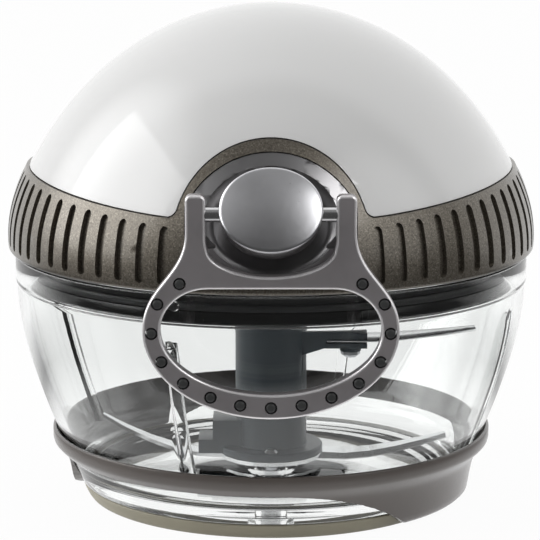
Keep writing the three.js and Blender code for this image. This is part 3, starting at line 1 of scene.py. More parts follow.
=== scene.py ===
import bpy
from math import asin, atan2, cos, degrees, hypot, pi, radians, sin, sqrt
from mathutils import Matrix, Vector


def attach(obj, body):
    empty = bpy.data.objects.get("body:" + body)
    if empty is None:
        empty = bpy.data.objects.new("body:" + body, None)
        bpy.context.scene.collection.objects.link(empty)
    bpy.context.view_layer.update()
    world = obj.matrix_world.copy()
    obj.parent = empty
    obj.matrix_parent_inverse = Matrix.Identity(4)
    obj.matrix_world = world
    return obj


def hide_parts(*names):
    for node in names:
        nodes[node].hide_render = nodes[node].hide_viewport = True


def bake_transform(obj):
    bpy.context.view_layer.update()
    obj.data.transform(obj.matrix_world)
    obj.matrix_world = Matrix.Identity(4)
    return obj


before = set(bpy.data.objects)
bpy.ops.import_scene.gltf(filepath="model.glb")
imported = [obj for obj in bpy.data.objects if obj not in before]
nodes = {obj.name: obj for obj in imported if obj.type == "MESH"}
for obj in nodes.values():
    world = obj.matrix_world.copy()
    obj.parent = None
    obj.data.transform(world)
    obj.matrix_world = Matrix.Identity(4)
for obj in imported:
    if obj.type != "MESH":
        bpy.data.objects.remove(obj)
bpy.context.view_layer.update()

# Camera: 0.8 m in front of the chopper and a little above its lid, looking down by 11.24 degrees.
# The focal length and the small shift come from the rims of the bowl in the photograph.
bpy.ops.object.camera_add(location=(0, -0.8, 0.2277), rotation=(radians(78.76), 0, 0))
camera = bpy.context.object
camera.data.lens = 176.7
camera.data.sensor_width = 36
camera.data.shift_x = -0.0018
bpy.context.scene.camera = camera
bpy.context.scene.view_settings.view_transform = "Standard"

# Pull cord: braided polyester, off-white. It leaves the spool's winding, bends in the eyelet and
# ends in the knob. At rest the eight millimetres behind the knob hold all that the pull draws out.
MM = 0.001
CORD_Z, CORD_RADIUS = 96.8, 1.2
PULL_START, PULL_END, PULL_TRAVEL = -70, -78, 330
STRANDS, CROSSINGS_PER_MM = 8, 0.35
# The darker colour is painted shade: a darker copy of the cord's own colour, laid in the grooves
# between strands and between wound turns.
CORD_GROOVE_SHADE, CORD_PALE = (0.34, 0.32, 0.27, 1), (0.72, 0.7, 0.62, 1)


class Signal:
    """A node's output socket. Sums and products of signals add the Math nodes they need."""

    def __init__(self, tree, socket=None):
        self.tree = tree
        self.socket = socket

    def node(self, kind, settings=None, out=0, **inputs):
        """A new node, with its settings and its sockets' values. _0 is its first socket."""
        made = self.tree.nodes.new("ShaderNode" + kind)
        for name, value in (settings or {}).items():
            setattr(made, name, value)
        for name, value in inputs.items():
            key = int(name[1:]) if name[0] == "_" else name.replace("_", " ")
            if isinstance(value, Signal):
                self.tree.links.new(value.socket, made.inputs[key])
            else:
                made.inputs[key].default_value = value
        return Signal(self.tree, made.outputs[out] if made.outputs else None)

    def math(self, operation, *others):
        values = {f"_{i + 1}": other for i, other in enumerate(others)}
        return self.node("Math", {"operation": operation}, _0=self, **values)

    def __add__(self, other):
        return self.math("ADD", other)

    def __sub__(self, other):
        return self.math("SUBTRACT", other)

    def __rsub__(self, other):
        return self.node("Math", {"operation": "SUBTRACT"}, _0=other, _1=self)

    def __mul__(self, other):
        return self.math("MULTIPLY", other)

    def between(self, low, high):
        """0 below low, 1 above high, and a smooth step from one to the other."""
        settings = {"interpolation_type": "SMOOTHSTEP"}
        return self.node("MapRange", settings, Value=self, From_Min=low, From_Max=high)

    def mix(self, first, second):
        """The first colour where the signal is 0, the second where it is 1."""
        return self.node("Mix", {"data_type": "RGBA"}, out=2, _0=self, _6=first, _7=second)

    __radd__ = __add__
    __rmul__ = __mul__


def blank(finish):
    """Clears a new material or world, and returns a signal that its nodes are added with."""
    finish.use_nodes = True
    finish.node_tree.nodes.clear()
    return Signal(finish.node_tree)


def spread(first, last, steps):
    """Numbers at even steps, with both ends."""
    return [first + (last - first) * i / steps for i in range(steps + 1)]


def smooth_step(share):
    share = min(max(share, 0), 1)
    return share * share * (3 - 2 * share)


def tidy_mesh():
    """Merges doubles, turns the faces outwards and leaves edit mode."""
    bpy.ops.mesh.select_all(action="SELECT")
    bpy.ops.mesh.remove_doubles(threshold=1e-6)
    bpy.ops.mesh.normals_make_consistent(inside=False)
    bpy.ops.object.mode_set(mode="OBJECT")


def trace(name, points, closed=True):
    """A line through points in millimetres, drawn by extruding one corner after another."""
    bpy.ops.object.select_all(action="DESELECT")
    bpy.ops.mesh.primitive_plane_add(size=MM, location=(0, 0, 0))
    piece = bpy.context.object
    piece.name = name
    bpy.ops.object.mode_set(mode="EDIT")
    bpy.ops.mesh.select_mode(type="VERT")
    bpy.ops.mesh.select_all(action="SELECT")
    bpy.ops.mesh.merge(type="CENTER")
    corners = [Vector(p) * MM for p in points]
    bpy.ops.transform.translate(value=corners[0])
    last = corners[0]
    for corner in corners[1:] + (corners[:1] if closed else []):
        bpy.ops.mesh.extrude_region_move(TRANSFORM_OT_translate={"value": corner - last})
        last = corner
    bpy.ops.mesh.select_all(action="SELECT")
    bpy.ops.mesh.remove_doubles(threshold=1e-7)
    return piece


def work_on(piece):
    """Selects one piece alone and makes it the active one."""
    bpy.ops.object.select_all(action="DESELECT")
    bpy.context.view_layer.objects.active = piece
    piece.select_set(True)


def dress(piece, finish, body, slot, *replaced):
    """Gives a finished piece its material, its body and the CAD nodes it stands for. Its slot is
    not used.
    """
    piece.data.materials.clear()
    piece.data.materials.append(finish)
    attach(piece, body)
    if replaced:
        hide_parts(*replaced)


def tube(name, points, radius):
    """A round rod along a line of points in millimetres."""
    piece = trace(name, points, closed=False)
    bpy.ops.object.mode_set(mode="OBJECT")
    bpy.ops.object.convert(target="CURVE")
    piece.data.bevel_depth = radius * MM
    piece.data.bevel_resolution = 6
    piece.data.use_fill_caps = True
    bpy.ops.object.convert(target="MESH")
    bpy.ops.object.mode_set(mode="EDIT")
    tidy_mesh()
    return piece


def drawn_out(y):
    """Distance along the cord, once the knob is pulled out to its stop."""
    share = (y - PULL_START) / (PULL_END - PULL_START)
    return PULL_START - y + PULL_TRAVEL * smooth_step(share)


def place_of(distance):
    """The y at rest of the point that lies at a distance along the drawn-out cord."""
    near, far = PULL_START, PULL_END
    for _ in range(30):
        middle = (near + far) / 2
        near, far = (middle, far) if drawn_out(middle) < distance else (near, middle)
    return near


guide = Vector((0, -60.2, CORD_Z))
leave = Vector((-22.4, -10, CORD_Z))
cord_line = [leave.lerp(guide, share) for share in spread(0, 1, 8)[:-1]]
cord_line += [Vector((x, y, CORD_Z)) for x, y in ((-0.9, -58.3), (-0.25, -60.2), (0, -62.5))]
drawn = spread(0, drawn_out(PULL_END), 56)
cord_line += [Vector((0, place_of(distance), CORD_Z)) for distance in drawn]
cord_line += [Vector((0, PULL_END - 1.6, CORD_Z))]
cord = tube("pull_cord_braid", cord_line, CORD_RADIUS)
run = cord.data.attributes.new("cord_run", "FLOAT", "POINT")
run.data.foreach_set("value", [drawn_out(vertex.co.y / MM) for vertex in cord.data.vertices])
work_on(cord)
bpy.ops.object.shade_smooth_by_angle(angle=radians(60))

braid = bpy.data.materials.new("cord_fibre")
fibre = blank(braid)
place = fibre.node("TexCoord", out=3)
sideways = fibre.node("SeparateXYZ", out="X", Vector=place)
upward = fibre.node("SeparateXYZ", out="Z", Vector=place) - CORD_Z * MM
turn = sideways.math("ARCTAN2", upward) * (STRANDS / (2 * pi))
run_out = fibre.node("Attribute", {"attribute_name": "cord_run"}, out="Fac") * CROSSINGS_PER_MM
over = ((turn + run_out) * pi).math("SINE").math("ABSOLUTE")
under = ((turn - run_out) * pi).math("SINE").math("ABSOLUTE")
relief = over.math("MAXIMUM", under)
fuzz = fibre.node("TexNoise", Vector=place, Scale=2500, Detail=3)
# The base colour paints shade into the low parts of the braid between its strands, with a random
# fibre tone on top.
surface = fibre.node(
    "BsdfPrincipled",
    Base_Color=(relief.between(0.55, 0.95) * 0.8 + fuzz * 0.2).mix(CORD_GROOVE_SHADE, CORD_PALE),
    Roughness=fuzz * 0.2 + 0.6,
    Normal=fibre.node("Bump", Strength=0.8, Distance=0.00025, Height=relief + fuzz * 0.15),
)
fibre.node("OutputMaterial", Surface=surface)
cord.data.materials.append(braid)
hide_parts("pull_cord")
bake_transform(cord)

# Studio: a white table in a white room, with a large soft box at the left and a small one in
# front. Mirrored rays see a darker front between a bright back and bright cards left and right,
# as the streaks on the lid's black skirt and on the knob show.
DARKEST = 0.07

room = bpy.data.worlds.new("studio_room")
air = blank(room)
bpy.context.scene.world = room
heading = air.node("TexCoord")
sideways = air.node("SeparateXYZ", out="X", Vector=heading)
ahead = air.node("SeparateXYZ", out="Y", Vector=heading)
above = air.node("SeparateXYZ", out="Z", Vector=heading)
front = above * 0.52 - ahead * 0.85 + sideways * 0.1
soft = 1.05 - front.between(0.3, 0.9) * 0.88
left_card = (above * 0.45 - sideways * 0.89).between(0.74, 0.94)
right_card = (above * 0.45 + sideways * 0.74 - ahead * 0.5).between(0.84, 0.97)
back_card = ahead.between(-0.12, 0.22).math("MAXIMUM", above.between(0.6, 0.95) * 0.22)
knob_card = (above * 0.62 - sideways * 0.38 - ahead * 0.68).between(0.93, 0.995)
cards = back_card * (1 - DARKEST) + DARKEST
cards = cards + left_card * 1.8 + right_card * 1.1 + knob_card * 0.25


def ways(shader):
    """Rays that see the room as the eye does, also through clear parts, and mirrored rays.

    A ray through clear plastic counts as mirrored too, so both are told apart here.
    """
    eye = shader.node("LightPath", out="Is Camera Ray")
    mirrored = shader.node("LightPath", out="Is Glossy Ray")
    through = shader.node("LightPath", out="Is Transmission Ray")
    mirrors = shader.node("LightPath", out="Glossy Depth").math("MINIMUM", 1)
    lit = shader.node("LightPath", out="Diffuse Depth").math("MINIMUM", 1)
    straight = eye.math("MAXIMUM", through * (1 - lit) * (1 - mirrors))
    return straight, mirrored * (1 - straight) * (1 - through * lit)


seen, mirrored = ways(air)
level = seen + mirrored * cards + (1 - seen - mirrored) * soft
glow = air.node("Background", Color=(1, 1, 1, 1), Strength=level)
air.node("OutputWorld", Surface=glow)


def soft_box(name, place, aim, size, power):
    """A flat lamp of a width and a height, turned to where it aims."""
    bpy.ops.object.light_add(type="AREA", location=place)
    lamp = bpy.context.object
    lamp.name = name
    lamp.data.shape = "RECTANGLE"
    lamp.data.size, lamp.data.size_y = size
    lamp.data.energy = power
    lamp.rotation_euler = (Vector(aim) - Vector(place)).to_track_quat("-Z", "Y").to_euler()


soft_box("left_box", (-0.9, -0.15, 0.5), (0, 0, 0.08), (0.9, 0.9), 4)
soft_box("front_box", (0.35, -0.5, 0.56), (0, -0.08, 0.1), (0.2, 0.3), 0.7)

bpy.ops.mesh.primitive_plane_add(size=6, location=(0, 0, 0))
table = bpy.context.object
table.name = "table_top"
table_paint = bpy.data.materials.new("table_white")
paint = blank(table_paint)
flat_white = paint.node("BsdfDiffuse", Color=(0.9, 0.9, 0.9, 1))
seen, mirrored = ways(paint)
spot = paint.node("TexCoord", out=3)
reach = paint.node("VectorMath", {"operation": "LENGTH"}, out="Value", _0=spot)
behind = paint.node("SeparateXYZ", out="Y", Vector=spot).between(0, 0.2)
white = behind.math("MAXIMUM", 1 - reach.between(0.09, 0.17)) * (1 - DARKEST) + DARKEST
bright_white = paint.node("Emission", Color=(1, 1, 1, 1), Strength=seen + mirrored * white)
lit = paint.node("MixShader", _0=seen * 0.96 + mirrored, _1=flat_white, _2=bright_white)
paint.node("OutputMaterial", Surface=lit)
table.data.materials.append(table_paint)

# Bowl: thick clear plastic, moulded in one piece with its skirt, four ribs and the boss for the
# blade pin. Its profile is drawn and spun about the axis, and the ribs are joined to the wall, as
# is the small round mark that the mould's gate leaves on the rim.
def turned(name, profile, steps):
    """A profile of (radius, height) in millimetres, spun about the bowl's axis."""
    on_axis = profile[0][0] == 0 and profile[-1][0] == 0
    piece = trace(name, [(r, 0, z) for r, z in profile], closed=not on_axis)
    bpy.ops.mesh.select_all(action="SELECT")
    bpy.ops.mesh.spin(steps=steps, angle=2 * pi, center=(0, 0, 0), axis=(0, 0, 1))
    tidy_mesh()
    return piece


def slab(name, outline, front, back):
    """An outline of (x, z) in millimetres, extruded along Y from front to back."""
    piece = trace(name, [(x, front, z) for x, z in outline])
    bpy.ops.mesh.edge_face_add()
    bpy.ops.mesh.extrude_region_move(TRANSFORM_OT_translate={"value": (0, (back - front) * MM, 0)})
    tidy_mesh()
    return piece


def cylinder(radius, depth, location, sides, tipped=0):
    """A round bar in millimetres, upright unless it is tipped over towards the front."""
    bpy.ops.mesh.primitive_cylinder_add(
        vertices=sides,
        radius=radius * MM,
        depth=depth * MM,
        location=[place * MM for place in location],
        rotation=(tipped, 0, 0),
    )
    bpy.ops.object.transform_apply(location=True, rotation=True)
    return bpy.context.object


def apply_modifier(piece, kind, **settings):
    work_on(piece)
    modifier = piece.modifiers.new(kind.title(), kind)
    for name, value in settings.items():
        setattr(modifier, name, value)
    bpy.ops.object.modifier_apply(modifier=modifier.name)


def carve(piece, tool, operation="DIFFERENCE"):
    """Cuts a piece with a tool, joins it on or keeps what both share. The tool is used up."""
    apply_modifier(piece, "BOOLEAN", operation=operation, solver="EXACT", object=tool)
    bpy.data.meshes.remove(tool.data)


def joined(pieces):
    """Joins meshes that don't touch into one object."""
    work_on(pieces[0])
    for piece in pieces:
        piece.select_set(True)
    bpy.ops.object.join()
    return pieces[0]


def ease_edges(piece, width, segments, sharper_than, finish=-1):
    """Rounds edges sharper than an angle. With a finish, they take that material slot."""
    apply_modifier(
        piece,
        "BEVEL",
        width=width * MM,
        segments=segments,
        limit_method="ANGLE",
        angle_limit=radians(sharper_than),
        use_clamp_overlap=True,
        material=finish,
    )
    work_on(piece)
    bpy.ops.object.shade_smooth_by_angle(angle=radians(40))


def put(piece, location=(0, 0, 0), rotation=(0, 0, 0)):
    """Turn a finished piece by degrees, move it by millimetres, and keep that in its mesh."""
    work_on(piece)
    piece.rotation_euler = [radians(angle) for angle in rotation]
    piece.location = Vector(location) * MM
    bpy.ops.object.transform_apply(location=True, rotation=True, scale=True)


def bezier(a, b, c, d, steps):
    """A curve from a to d, drawn towards b and c on its way."""
    return [
        tuple(
            (1 - t) ** 3 * p + 3 * (1 - t) ** 2 * t * q + 3 * (1 - t) * t * t * r + t ** 3 * s
            for p, q, r, s in zip(a, b, c, d)
        )
        for t in spread(0, 1, steps)
    ]


def arc(x, y, rx, ry, start, end, steps):
    """Part of an oval round (x, y), between two angles in degrees."""
    angles = [radians(angle) for angle in spread(start, end, steps)]
    return [(x + rx * cos(a), y + ry * sin(a)) for a in angles]


FOOT_RADIUS, SHOULDER_RADIUS, SHOULDER_Z = 56.6, 77.6, 66
shoulder = (SHOULDER_RADIUS, SHOULDER_Z)
bowl_side = bezier((FOOT_RADIUS, 0), (77.9, 45.6), (SHOULDER_RADIUS, 60.4), shoulder, 60)


def bowl_radius(z):
    """Radius of the bowl's outside at a height."""
    for (r0, z0), (r1, z1) in zip(bowl_side, bowl_side[1:]):
        if z <= z1:
            return r0 + (r1 - r0) * (z - z0) / (z1 - z0)
    return bowl_side[-1][0]


WALL, SKIRT_Z = 3, 4.9
FLOOR_Z, FLOOR_FILLET = 9.5, 6
fillet_z = FLOOR_Z + FLOOR_FILLET
outer_side = [(bowl_radius(z), z) for z in spread(SKIRT_Z, SHOULDER_Z, 22)]
inner_side = [(bowl_radius(z) - WALL, z) for z in spread(SHOULDER_Z, fillet_z, 18)]
fillet_x = bowl_radius(fillet_z) - WALL - FLOOR_FILLET
floor_fillet = arc(fillet_x, fillet_z, FLOOR_FILLET, FLOOR_FILLET, 0, -90, 8)[1:]
bowl_profile = (
    [(53, 2.1), (53.3, 1.8), (54.5, 1.8), (54.8, 2.1), (54.8, SKIRT_Z)]
    + outer_side
    + [(SHOULDER_RADIUS, 67.2), (78.2, 67.8), (78.2, 76), (77.7, 76.5)]
    + [(75.1, 76.5), (74.6, 76)]
    + inner_side
    + floor_fillet
    + [(7.6, FLOOR_Z), (7, 10.1), (7, 13), (6.5, 13.5), (3.3, 13.5), (3.3, 2.8), (0.01, 2.8)]
    + [(0.01, 1), (6.5, 1), (7, 1.5), (7, 6.9), (bowl_radius(6.9) - 6, 6.9), (53, SKIRT_Z)]
)
bowl = turned("clear_bowl", bowl_profile, 160)
RIB_TOP, RIB_DEPTH, HALF_RIB = 62, 2.2, 1.6
rib_heights = spread(fillet_z, RIB_TOP, 8)
rib_back = [(bowl_radius(z) - WALL / 2, z) for z in rib_heights]
rib_face = [(bowl_radius(z) - WALL - RIB_DEPTH, z) for z in rib_heights]
rib_face[-1] = (rib_face[-1][0] + 1.2, rib_face[-1][1] - 0.4)
for azimuth in (-22, 68, 158, 248):
    rib = slab("bowl_rib", rib_back + rib_face[::-1], -HALF_RIB, HALF_RIB)
    put(rib, rotation=(0, 0, azimuth - 90))
    carve(bowl, rib, "UNION")
gate_mark = cylinder(1.5, 2, (0, -77.8, 73), 40, tipped=pi / 2)
put(gate_mark, rotation=(0, 0, -20.4))
carve(bowl, gate_mark, "UNION")
ease_edges(bowl, 0.3, 2, 40)

clear_plastic = bpy.data.materials.new("clear_plastic")
clear = blank(clear_plastic)
place = clear.node("TexCoord", out=3)
haze = clear.node("TexNoise", Vector=place, Scale=60, Detail=4)
swirl = clear.node("TexNoise", Vector=place, Scale=900, Detail=3)
ripple = clear.node("Bump", Strength=0.05, Distance=0.0002, Height=haze)
surface = clear.node(
    "BsdfPrincipled",
    Base_Color=(0.97, 0.98, 0.975, 1),
    Roughness=swirl.between(0.45, 0.75) * 0.012 + 0.01,
    Transmission_Weight=1.0,
    IOR=1.49,
    Normal=ripple,
)
clear.node("OutputMaterial", Surface=surface)
dress(bowl, clear_plastic, "bowl", "clear_bowl", "bowl")

# Foot ring: olive rubber, moulded with a channel in its top and pressed over the tongue of the
# bowl's skirt. The chopper stands on it.
foot_channel_out = bowl_radius(0) - 1.2
foot_channel_in = foot_channel_out - 3
foot_profile = [
    (foot_channel_in - 1.5, 0.3),
    (foot_channel_in - 1.2, 0),
    (bowl_radius(0) - 0.9, 0),
    (bowl_radius(0.2) - 0.2, 0.2),
    (bowl_radius(0.9), 0.9),
    (bowl_radius(2.6) + 0.12, 2.6),
    (bowl_radius(4.2), 4.2),
    (bowl_radius(4.6) - 0.4, 4.6),
    (foot_channel_out, 4.6),
    (foot_channel_out, 1.5),
    (foot_channel_in, 1.5),
    (foot_channel_in, 3.4),
    (foot_channel_in - 1.2, 3.4),
    (foot_channel_in - 1.5, 3.1),
]
foot_ring = turned("foot_ring_rubber", foot_profile, 160)
ease_edges(foot_ring, 0.15, 2, 60)


def rubber(name, colour, roughness, sheen=0.0):
    """Moulded rubber: a fine grain, and a slight cloudiness where it has been handled."""
    finish = bpy.data.materials.new(name)
    skin = blank(finish)
    place = skin.node("TexCoord", out=3)
    grains = skin.node("TexNoise", Vector=place, Scale=1400, Detail=3)
    clouds = skin.node("TexNoise", Vector=place, Scale=45, Detail=5)
    dusty = tuple(c * 1.18 + 0.006 for c in colour[:3]) + (1,)
    surface = skin.node(
        "BsdfPrincipled",
        Base_Color=(clouds.between(0.35, 0.75) * 0.6).mix(colour, dusty),
        Roughness=grains * 0.12 + clouds * 0.1 + (roughness - 0.1),
        Coat_Weight=sheen,
        Coat_Roughness=0.16,
        Normal=skin.node("Bump", Strength=0.5, Distance=0.00004, Height=grains),
    )
    skin.node("OutputMaterial", Surface=surface)
    return finish


olive_rubber = rubber("olive_rubber", (0.34, 0.315, 0.235, 1), 0.45)
dress(foot_ring, olive_rubber, "bowl", "olive_rubber", "foot_ring")

# Base boot: taupe rubber, stretched round the bowl's base, with a lip at its top. Its edge drops
# in two lobes that reach the foot. It is spun as a full band, and the edge is cut out of it.
SKIN_GAP = 0.3
BAND_Z, LOBE_DROP = 15, 14.3
LOBE_START, FALL_SPAN, RISE_START, RISE_SPAN = -5, 47, 86, 24


def boot_skin(z, thick):
    """A point of the boot's profile, so far outside the bowl."""
    return (bowl_radius(z) + SKIN_GAP + thick, z)


boot_profile = (
    [(66.6, 21.4), (66.2, 20), (65.4, 18.6)]
    + [boot_skin(z, 0) for z in spread(17, 1.2, 8)]
    + [boot_skin(1.2, 1.7), boot_skin(1.5, 2.6)]
    + bezier((61.1, 2.4), (61.9, 6.5), (62.1, 9.3), (63.3, 12.5), 8)
    + bezier((63.3, 12.5), (64.1, 14.6), (66.1, 15.8), (67.3, 17.4), 8)[1:]
    + [(67.5, 18.2), (67.5, 20.8), (67.4, 21.2), (67.1, 21.4)]
)
boot = turned("base_boot_rubber", boot_profile, 180)


def boot_edge(azimuth):
    """Height of the boot's lower edge. It falls from the band to the foot, and rises again."""
    half_turn = (azimuth - LOBE_START) % 180
    fall = min(half_turn / FALL_SPAN, 1) ** 2.4
    rise = smooth_step((half_turn + LOBE_START - RISE_START) / RISE_SPAN)
    return BAND_Z - LOBE_DROP * fall * (1 - rise)


def round_axis(radius, azimuth, z=0):
    """A place round the bowl's axis, by degrees from the front."""
    return (radius * sin(radians(azimuth)), -radius * cos(radians(azimuth)), z)


edge_line = [round_axis(40, azimuth, boot_edge(azimuth)) for azimuth in range(0, 360, 2)]
below_edge = trace("below_edge", edge_line)
bpy.ops.mesh.extrude_region_move(TRANSFORM_OT_translate={"value": (0, 0, -0.03)})
bpy.ops.mesh.select_all(action="SELECT")
bpy.ops.mesh.extrude_region_move()
bpy.ops.transform.resize(value=(2.2, 2.2, 1), center_override=(0, 0, 0))
tidy_mesh()
carve(boot, below_edge)
ease_edges(boot, 0.45, 3, 45)
taupe_rubber = rubber("taupe_rubber", (0.082, 0.068, 0.06, 1), 0.42, sheen=0.7)
dress(boot, taupe_rubber, "bowl", "taupe_rubber", "base_boot")

# Spindle pin: ground steel, pressed in the boss in the middle of the bowl's floor. Its turning
# marks run round it. The blade hub's bushes run on it.


def metal(
    name, colour, roughness, brushed, along=(1, 1, 1), wear=0.1, height=0.00001, bare=1.0
):
    """Metal, or a metallic lacquer: fine scratches one way, and cloudy marks from use."""
    finish = bpy.data.materials.new(name)
    skin = blank(finish)
    place = skin.node("TexCoord", out=3)
    stretched = skin.node("Mapping", Vector=place, Scale=along)
    lines = skin.node("TexNoise", Vector=stretched, Scale=900, Detail=4)
    clouds = skin.node("TexNoise", Vector=place, Scale=70, Detail=5)
    dull = tuple(c * 0.72 for c in colour[:3]) + (1,)
    surface = skin.node(
        "BsdfPrincipled",
        Base_Color=(clouds.between(0.4, 0.75) * 0.5).mix(colour, dull),
        Metallic=bare,
        Roughness=lines * brushed + clouds * wear + (roughness - wear / 2),
        Normal=skin.node("Bump", Strength=0.4, Distance=height, Height=lines),
    )
    skin.node("OutputMaterial", Surface=surface)
    return finish


def paint_node(name, finish):
    """Gives a CAD node a finish. Its shape and its body stay as they are."""
    piece = nodes[name]
    for place in range(len(piece.material_slots)):
        piece.material_slots[place].material = finish
    if not piece.material_slots:
        piece.data.materials.append(finish)


pin_steel = metal("pin_steel", (0.6, 0.6, 0.61, 1), 0.2, 0.12, (1, 1, 12))
paint_node("spindle_pin", pin_steel)

# Blade hub: slate-grey plastic. A tube turns on the pin, its flange carries the lower blade, and
# an arm at the right holds the upper blade in a slot, over a round seat for its screw. A bracket
# stands at the lower left, and the drive's socket is in the top.
BLADE_ROOT, BLADE_UNDER, BLADE_TOP, BLADE_GAP = 17.2, 46.7, 47.9, 0.1
SCREW_X = 24.6


def oblong(left, right, low, high):
    return [(left, low), (right, low), (right, high), (left, high)]


hub_profile = [
    (8.8, 10.4),
    (11, 10.4),
    (11, 12.6),
    (16, 12.6),
    (16, 14.4),
    (15.6, 14.8),
    (11.4, 14.8),
    (11, 15.2),
    (11, 65.8),
    (10.6, 66.2),
    (0, 66.2),
    (0, 48.4),
    (8.8, 48.4),
]
hub = turned("blade_hub_body", hub_profile, 96)
arm_side = [(9, 43), (16.3, 45.2), (29.6, 45.2), (29.6, 49.8), (9, 52)]
carve(hub, slab("upper_arm", arm_side, -5.5, 5.5), "UNION")
slot_side = oblong(BLADE_ROOT - BLADE_GAP, 31, BLADE_UNDER - BLADE_GAP, BLADE_TOP + BLADE_GAP)
carve(hub, slab("blade_slot", slot_side, -9, 9))
carve(hub, cylinder(3.3, 2, (SCREW_X, 0, 44.5), 48), "UNION")
bracket_side = [(-9, 12.7), (-9, 23), (-18, 23), (-18, 17), (-22.4, 17), (-22.4, 12.7)]
carve(hub, slab("lower_arm", bracket_side, -6, 6), "UNION")
socket_corners = arc(0, 0, 6.35, 6.35, 0, 300, 5)
socket = trace("drive_socket", [(x, y, 54) for x, y in socket_corners])
bpy.ops.mesh.edge_face_add()
bpy.ops.mesh.extrude_region_move(TRANSFORM_OT_translate={"value": (0, 0, 0.02)})
tidy_mesh()
carve(hub, socket)
ease_edges(hub, 0.5, 3, 40)


def moulded(name, colour, roughness, height=0.000002):
    """Moulded plastic: a fine grain, and faint streaks where the plastic flowed."""
    finish = bpy.data.materials.new(name)
    skin = blank(finish)
    place = skin.node("TexCoord", out=3)
    grains = skin.node("TexNoise", Vector=place, Scale=2200, Detail=3)
    flow = skin.node("TexNoise", Vector=place, Scale=28, Detail=5)
    deeper = tuple(c * 0.84 for c in colour[:3]) + (1,)
    surface = skin.node(
        "BsdfPrincipled",
        Base_Color=flow.between(0.35, 0.7).mix(colour, deeper),
        Roughness=grains * 0.08 + flow * 0.06 + (roughness - 0.07),
        Normal=skin.node("Bump", Strength=0.3, Distance=height, Height=grains),
    )
    skin.node("OutputMaterial", Surface=surface)
    return finish


slate_plastic = moulded("slate_plastic", (0.088, 0.11, 0.126, 1), 0.34)
dress(hub, slate_plastic, "blades", "slate_plastic", "blade_hub")

# Hub bushes: two turned sleeves of natural nylon, pressed in the hub's tube at its top and its
# bottom. They run on the pin.
natural_nylon = moulded("natural_nylon", (0.6, 0.58, 0.52, 1), 0.45)
paint_node("hub_bush_lower", natural_nylon)
paint_node("hub_bush_upper", natural_nylon)

# Blades: stamped stainless steel, ground to an edge on the leading side, with fine grinding
# lines. The upper blade is ground on its underside, sweeps back and rises to its tip, and a screw
# holds it in the hub's slot. Two rivets hold the lower one to the hub's flange.
BLADE_TIP, BLADE_BEND, HALF_CHORD = 62.6, 29.8, 6.5
GRIND_Y, EDGE_THICK = -3, 0.4
TIP_SWEEP, TIP_RISE, TIP_NARROWING = 7, 4.6, 0.72

blade_end = [
    (-HALF_CHORD, BLADE_TOP - EDGE_THICK),
    (-HALF_CHORD, BLADE_TOP),
    (HALF_CHORD, BLADE_TOP),
    (HALF_CHORD, BLADE_UNDER),
    (GRIND_Y, BLADE_UNDER),
]
upper_blade = trace("upper_blade_wing", [(BLADE_ROOT, y, z) for y, z in blade_end])
bpy.ops.mesh.edge_face_add()
was_at, was_wide = Vector((BLADE_ROOT, 0, 0)) * MM, 1
for share in spread(0, 1, 16)[1:]:
    x = BLADE_ROOT + (BLADE_TIP - BLADE_ROOT) * share
    rise = TIP_RISE * max((x - BLADE_BEND) / (BLADE_TIP - BLADE_BEND), 0) ** 1.5
    at = Vector((x, -TIP_SWEEP * share ** 2, rise)) * MM
    wide = 1 - TIP_NARROWING * share ** 2.4
    bpy.ops.mesh.extrude_region_move(TRANSFORM_OT_translate={"value": at - was_at})
    bpy.ops.transform.resize(value=(1, wide / was_wide, 1), center_override=at)
    was_at, was_wide = at, wide
tidy_mesh()
carve(upper_blade, cylinder(1.7, 4, (SCREW_X, 0, 47.3), 32))
ease_edges(upper_blade, 0.08, 2, 25)
blade_steel = metal(
    "blade_steel", (0.88, 0.89, 0.9, 1), 0.14, 0.08, along=(14, 1, 1), wear=0.06, bare=0.9
)
dress(upper_blade, blade_steel, "blades", "stainless_steel", "upper_blade")
paint_node("lower_blade", blade_steel)
zinc_steel = metal("zinc_steel", (0.55, 0.56, 0.58, 1), 0.3, 0.1, wear=0.2)
for name in ("blade_screw", "blade_rivet_front", "blade_rivet_rear"):
    paint_node(name, zinc_steel)

# Lid base: glossy black plastic. Its skirt stands inside the bowl's rim, its flange lies on the
# rim, its plate closes the bowl, and three posts on the plate carry the spring housing.
SCREW_BORE = 1.8


def screw_post(open_end, hole_end, solid_end, radius, place):
    """A round post with a screw hole from its open end, stood at its place."""
    profile = [(SCREW_BORE, hole_end), (SCREW_BORE, open_end), (radius, open_end)]
    profile += [(radius, solid_end), (0, solid_end), (0, hole_end)]
    post = turned("screw_post", profile, 24)
    put(post, location=place)
    return post


lid_profile = [
    (6.6, 67.5),
    (12, 67.5),
    (12.6, 68.1),
    (66, 68.1),
    (66.6, 67.5),
    (73.3, 67.5),
    (73.9, 68.1),
    (73.9, 71),
    (72.5, 71),
    (72.5, 73.6),
    (73.9, 73.6),
    (73.9, 76.8),
    (76.2, 76.8),
    (76.6, 77.2),
    (76.6, 78.6),
    (76.2, 79),
    (70.9, 79),
    (70.9, 69.7),
    (9.6, 69.7),
    (9.6, 78),
    (6.6, 78),
]
lid = turned("lid_base_skirt", lid_profile, 160)
for azimuth in (-60, 60, 180):
    carve(lid, screw_post(108.9, 96, 69, 3.8, round_axis(37, azimuth)), "UNION")
ease_edges(lid, 0.3, 2, 50)
gloss_black = moulded("gloss_black", (0.006, 0.006, 0.006, 1), 0.09, height=0.0000004)
dress(lid, gloss_black, "lid", "black_plastic", "lid_base")

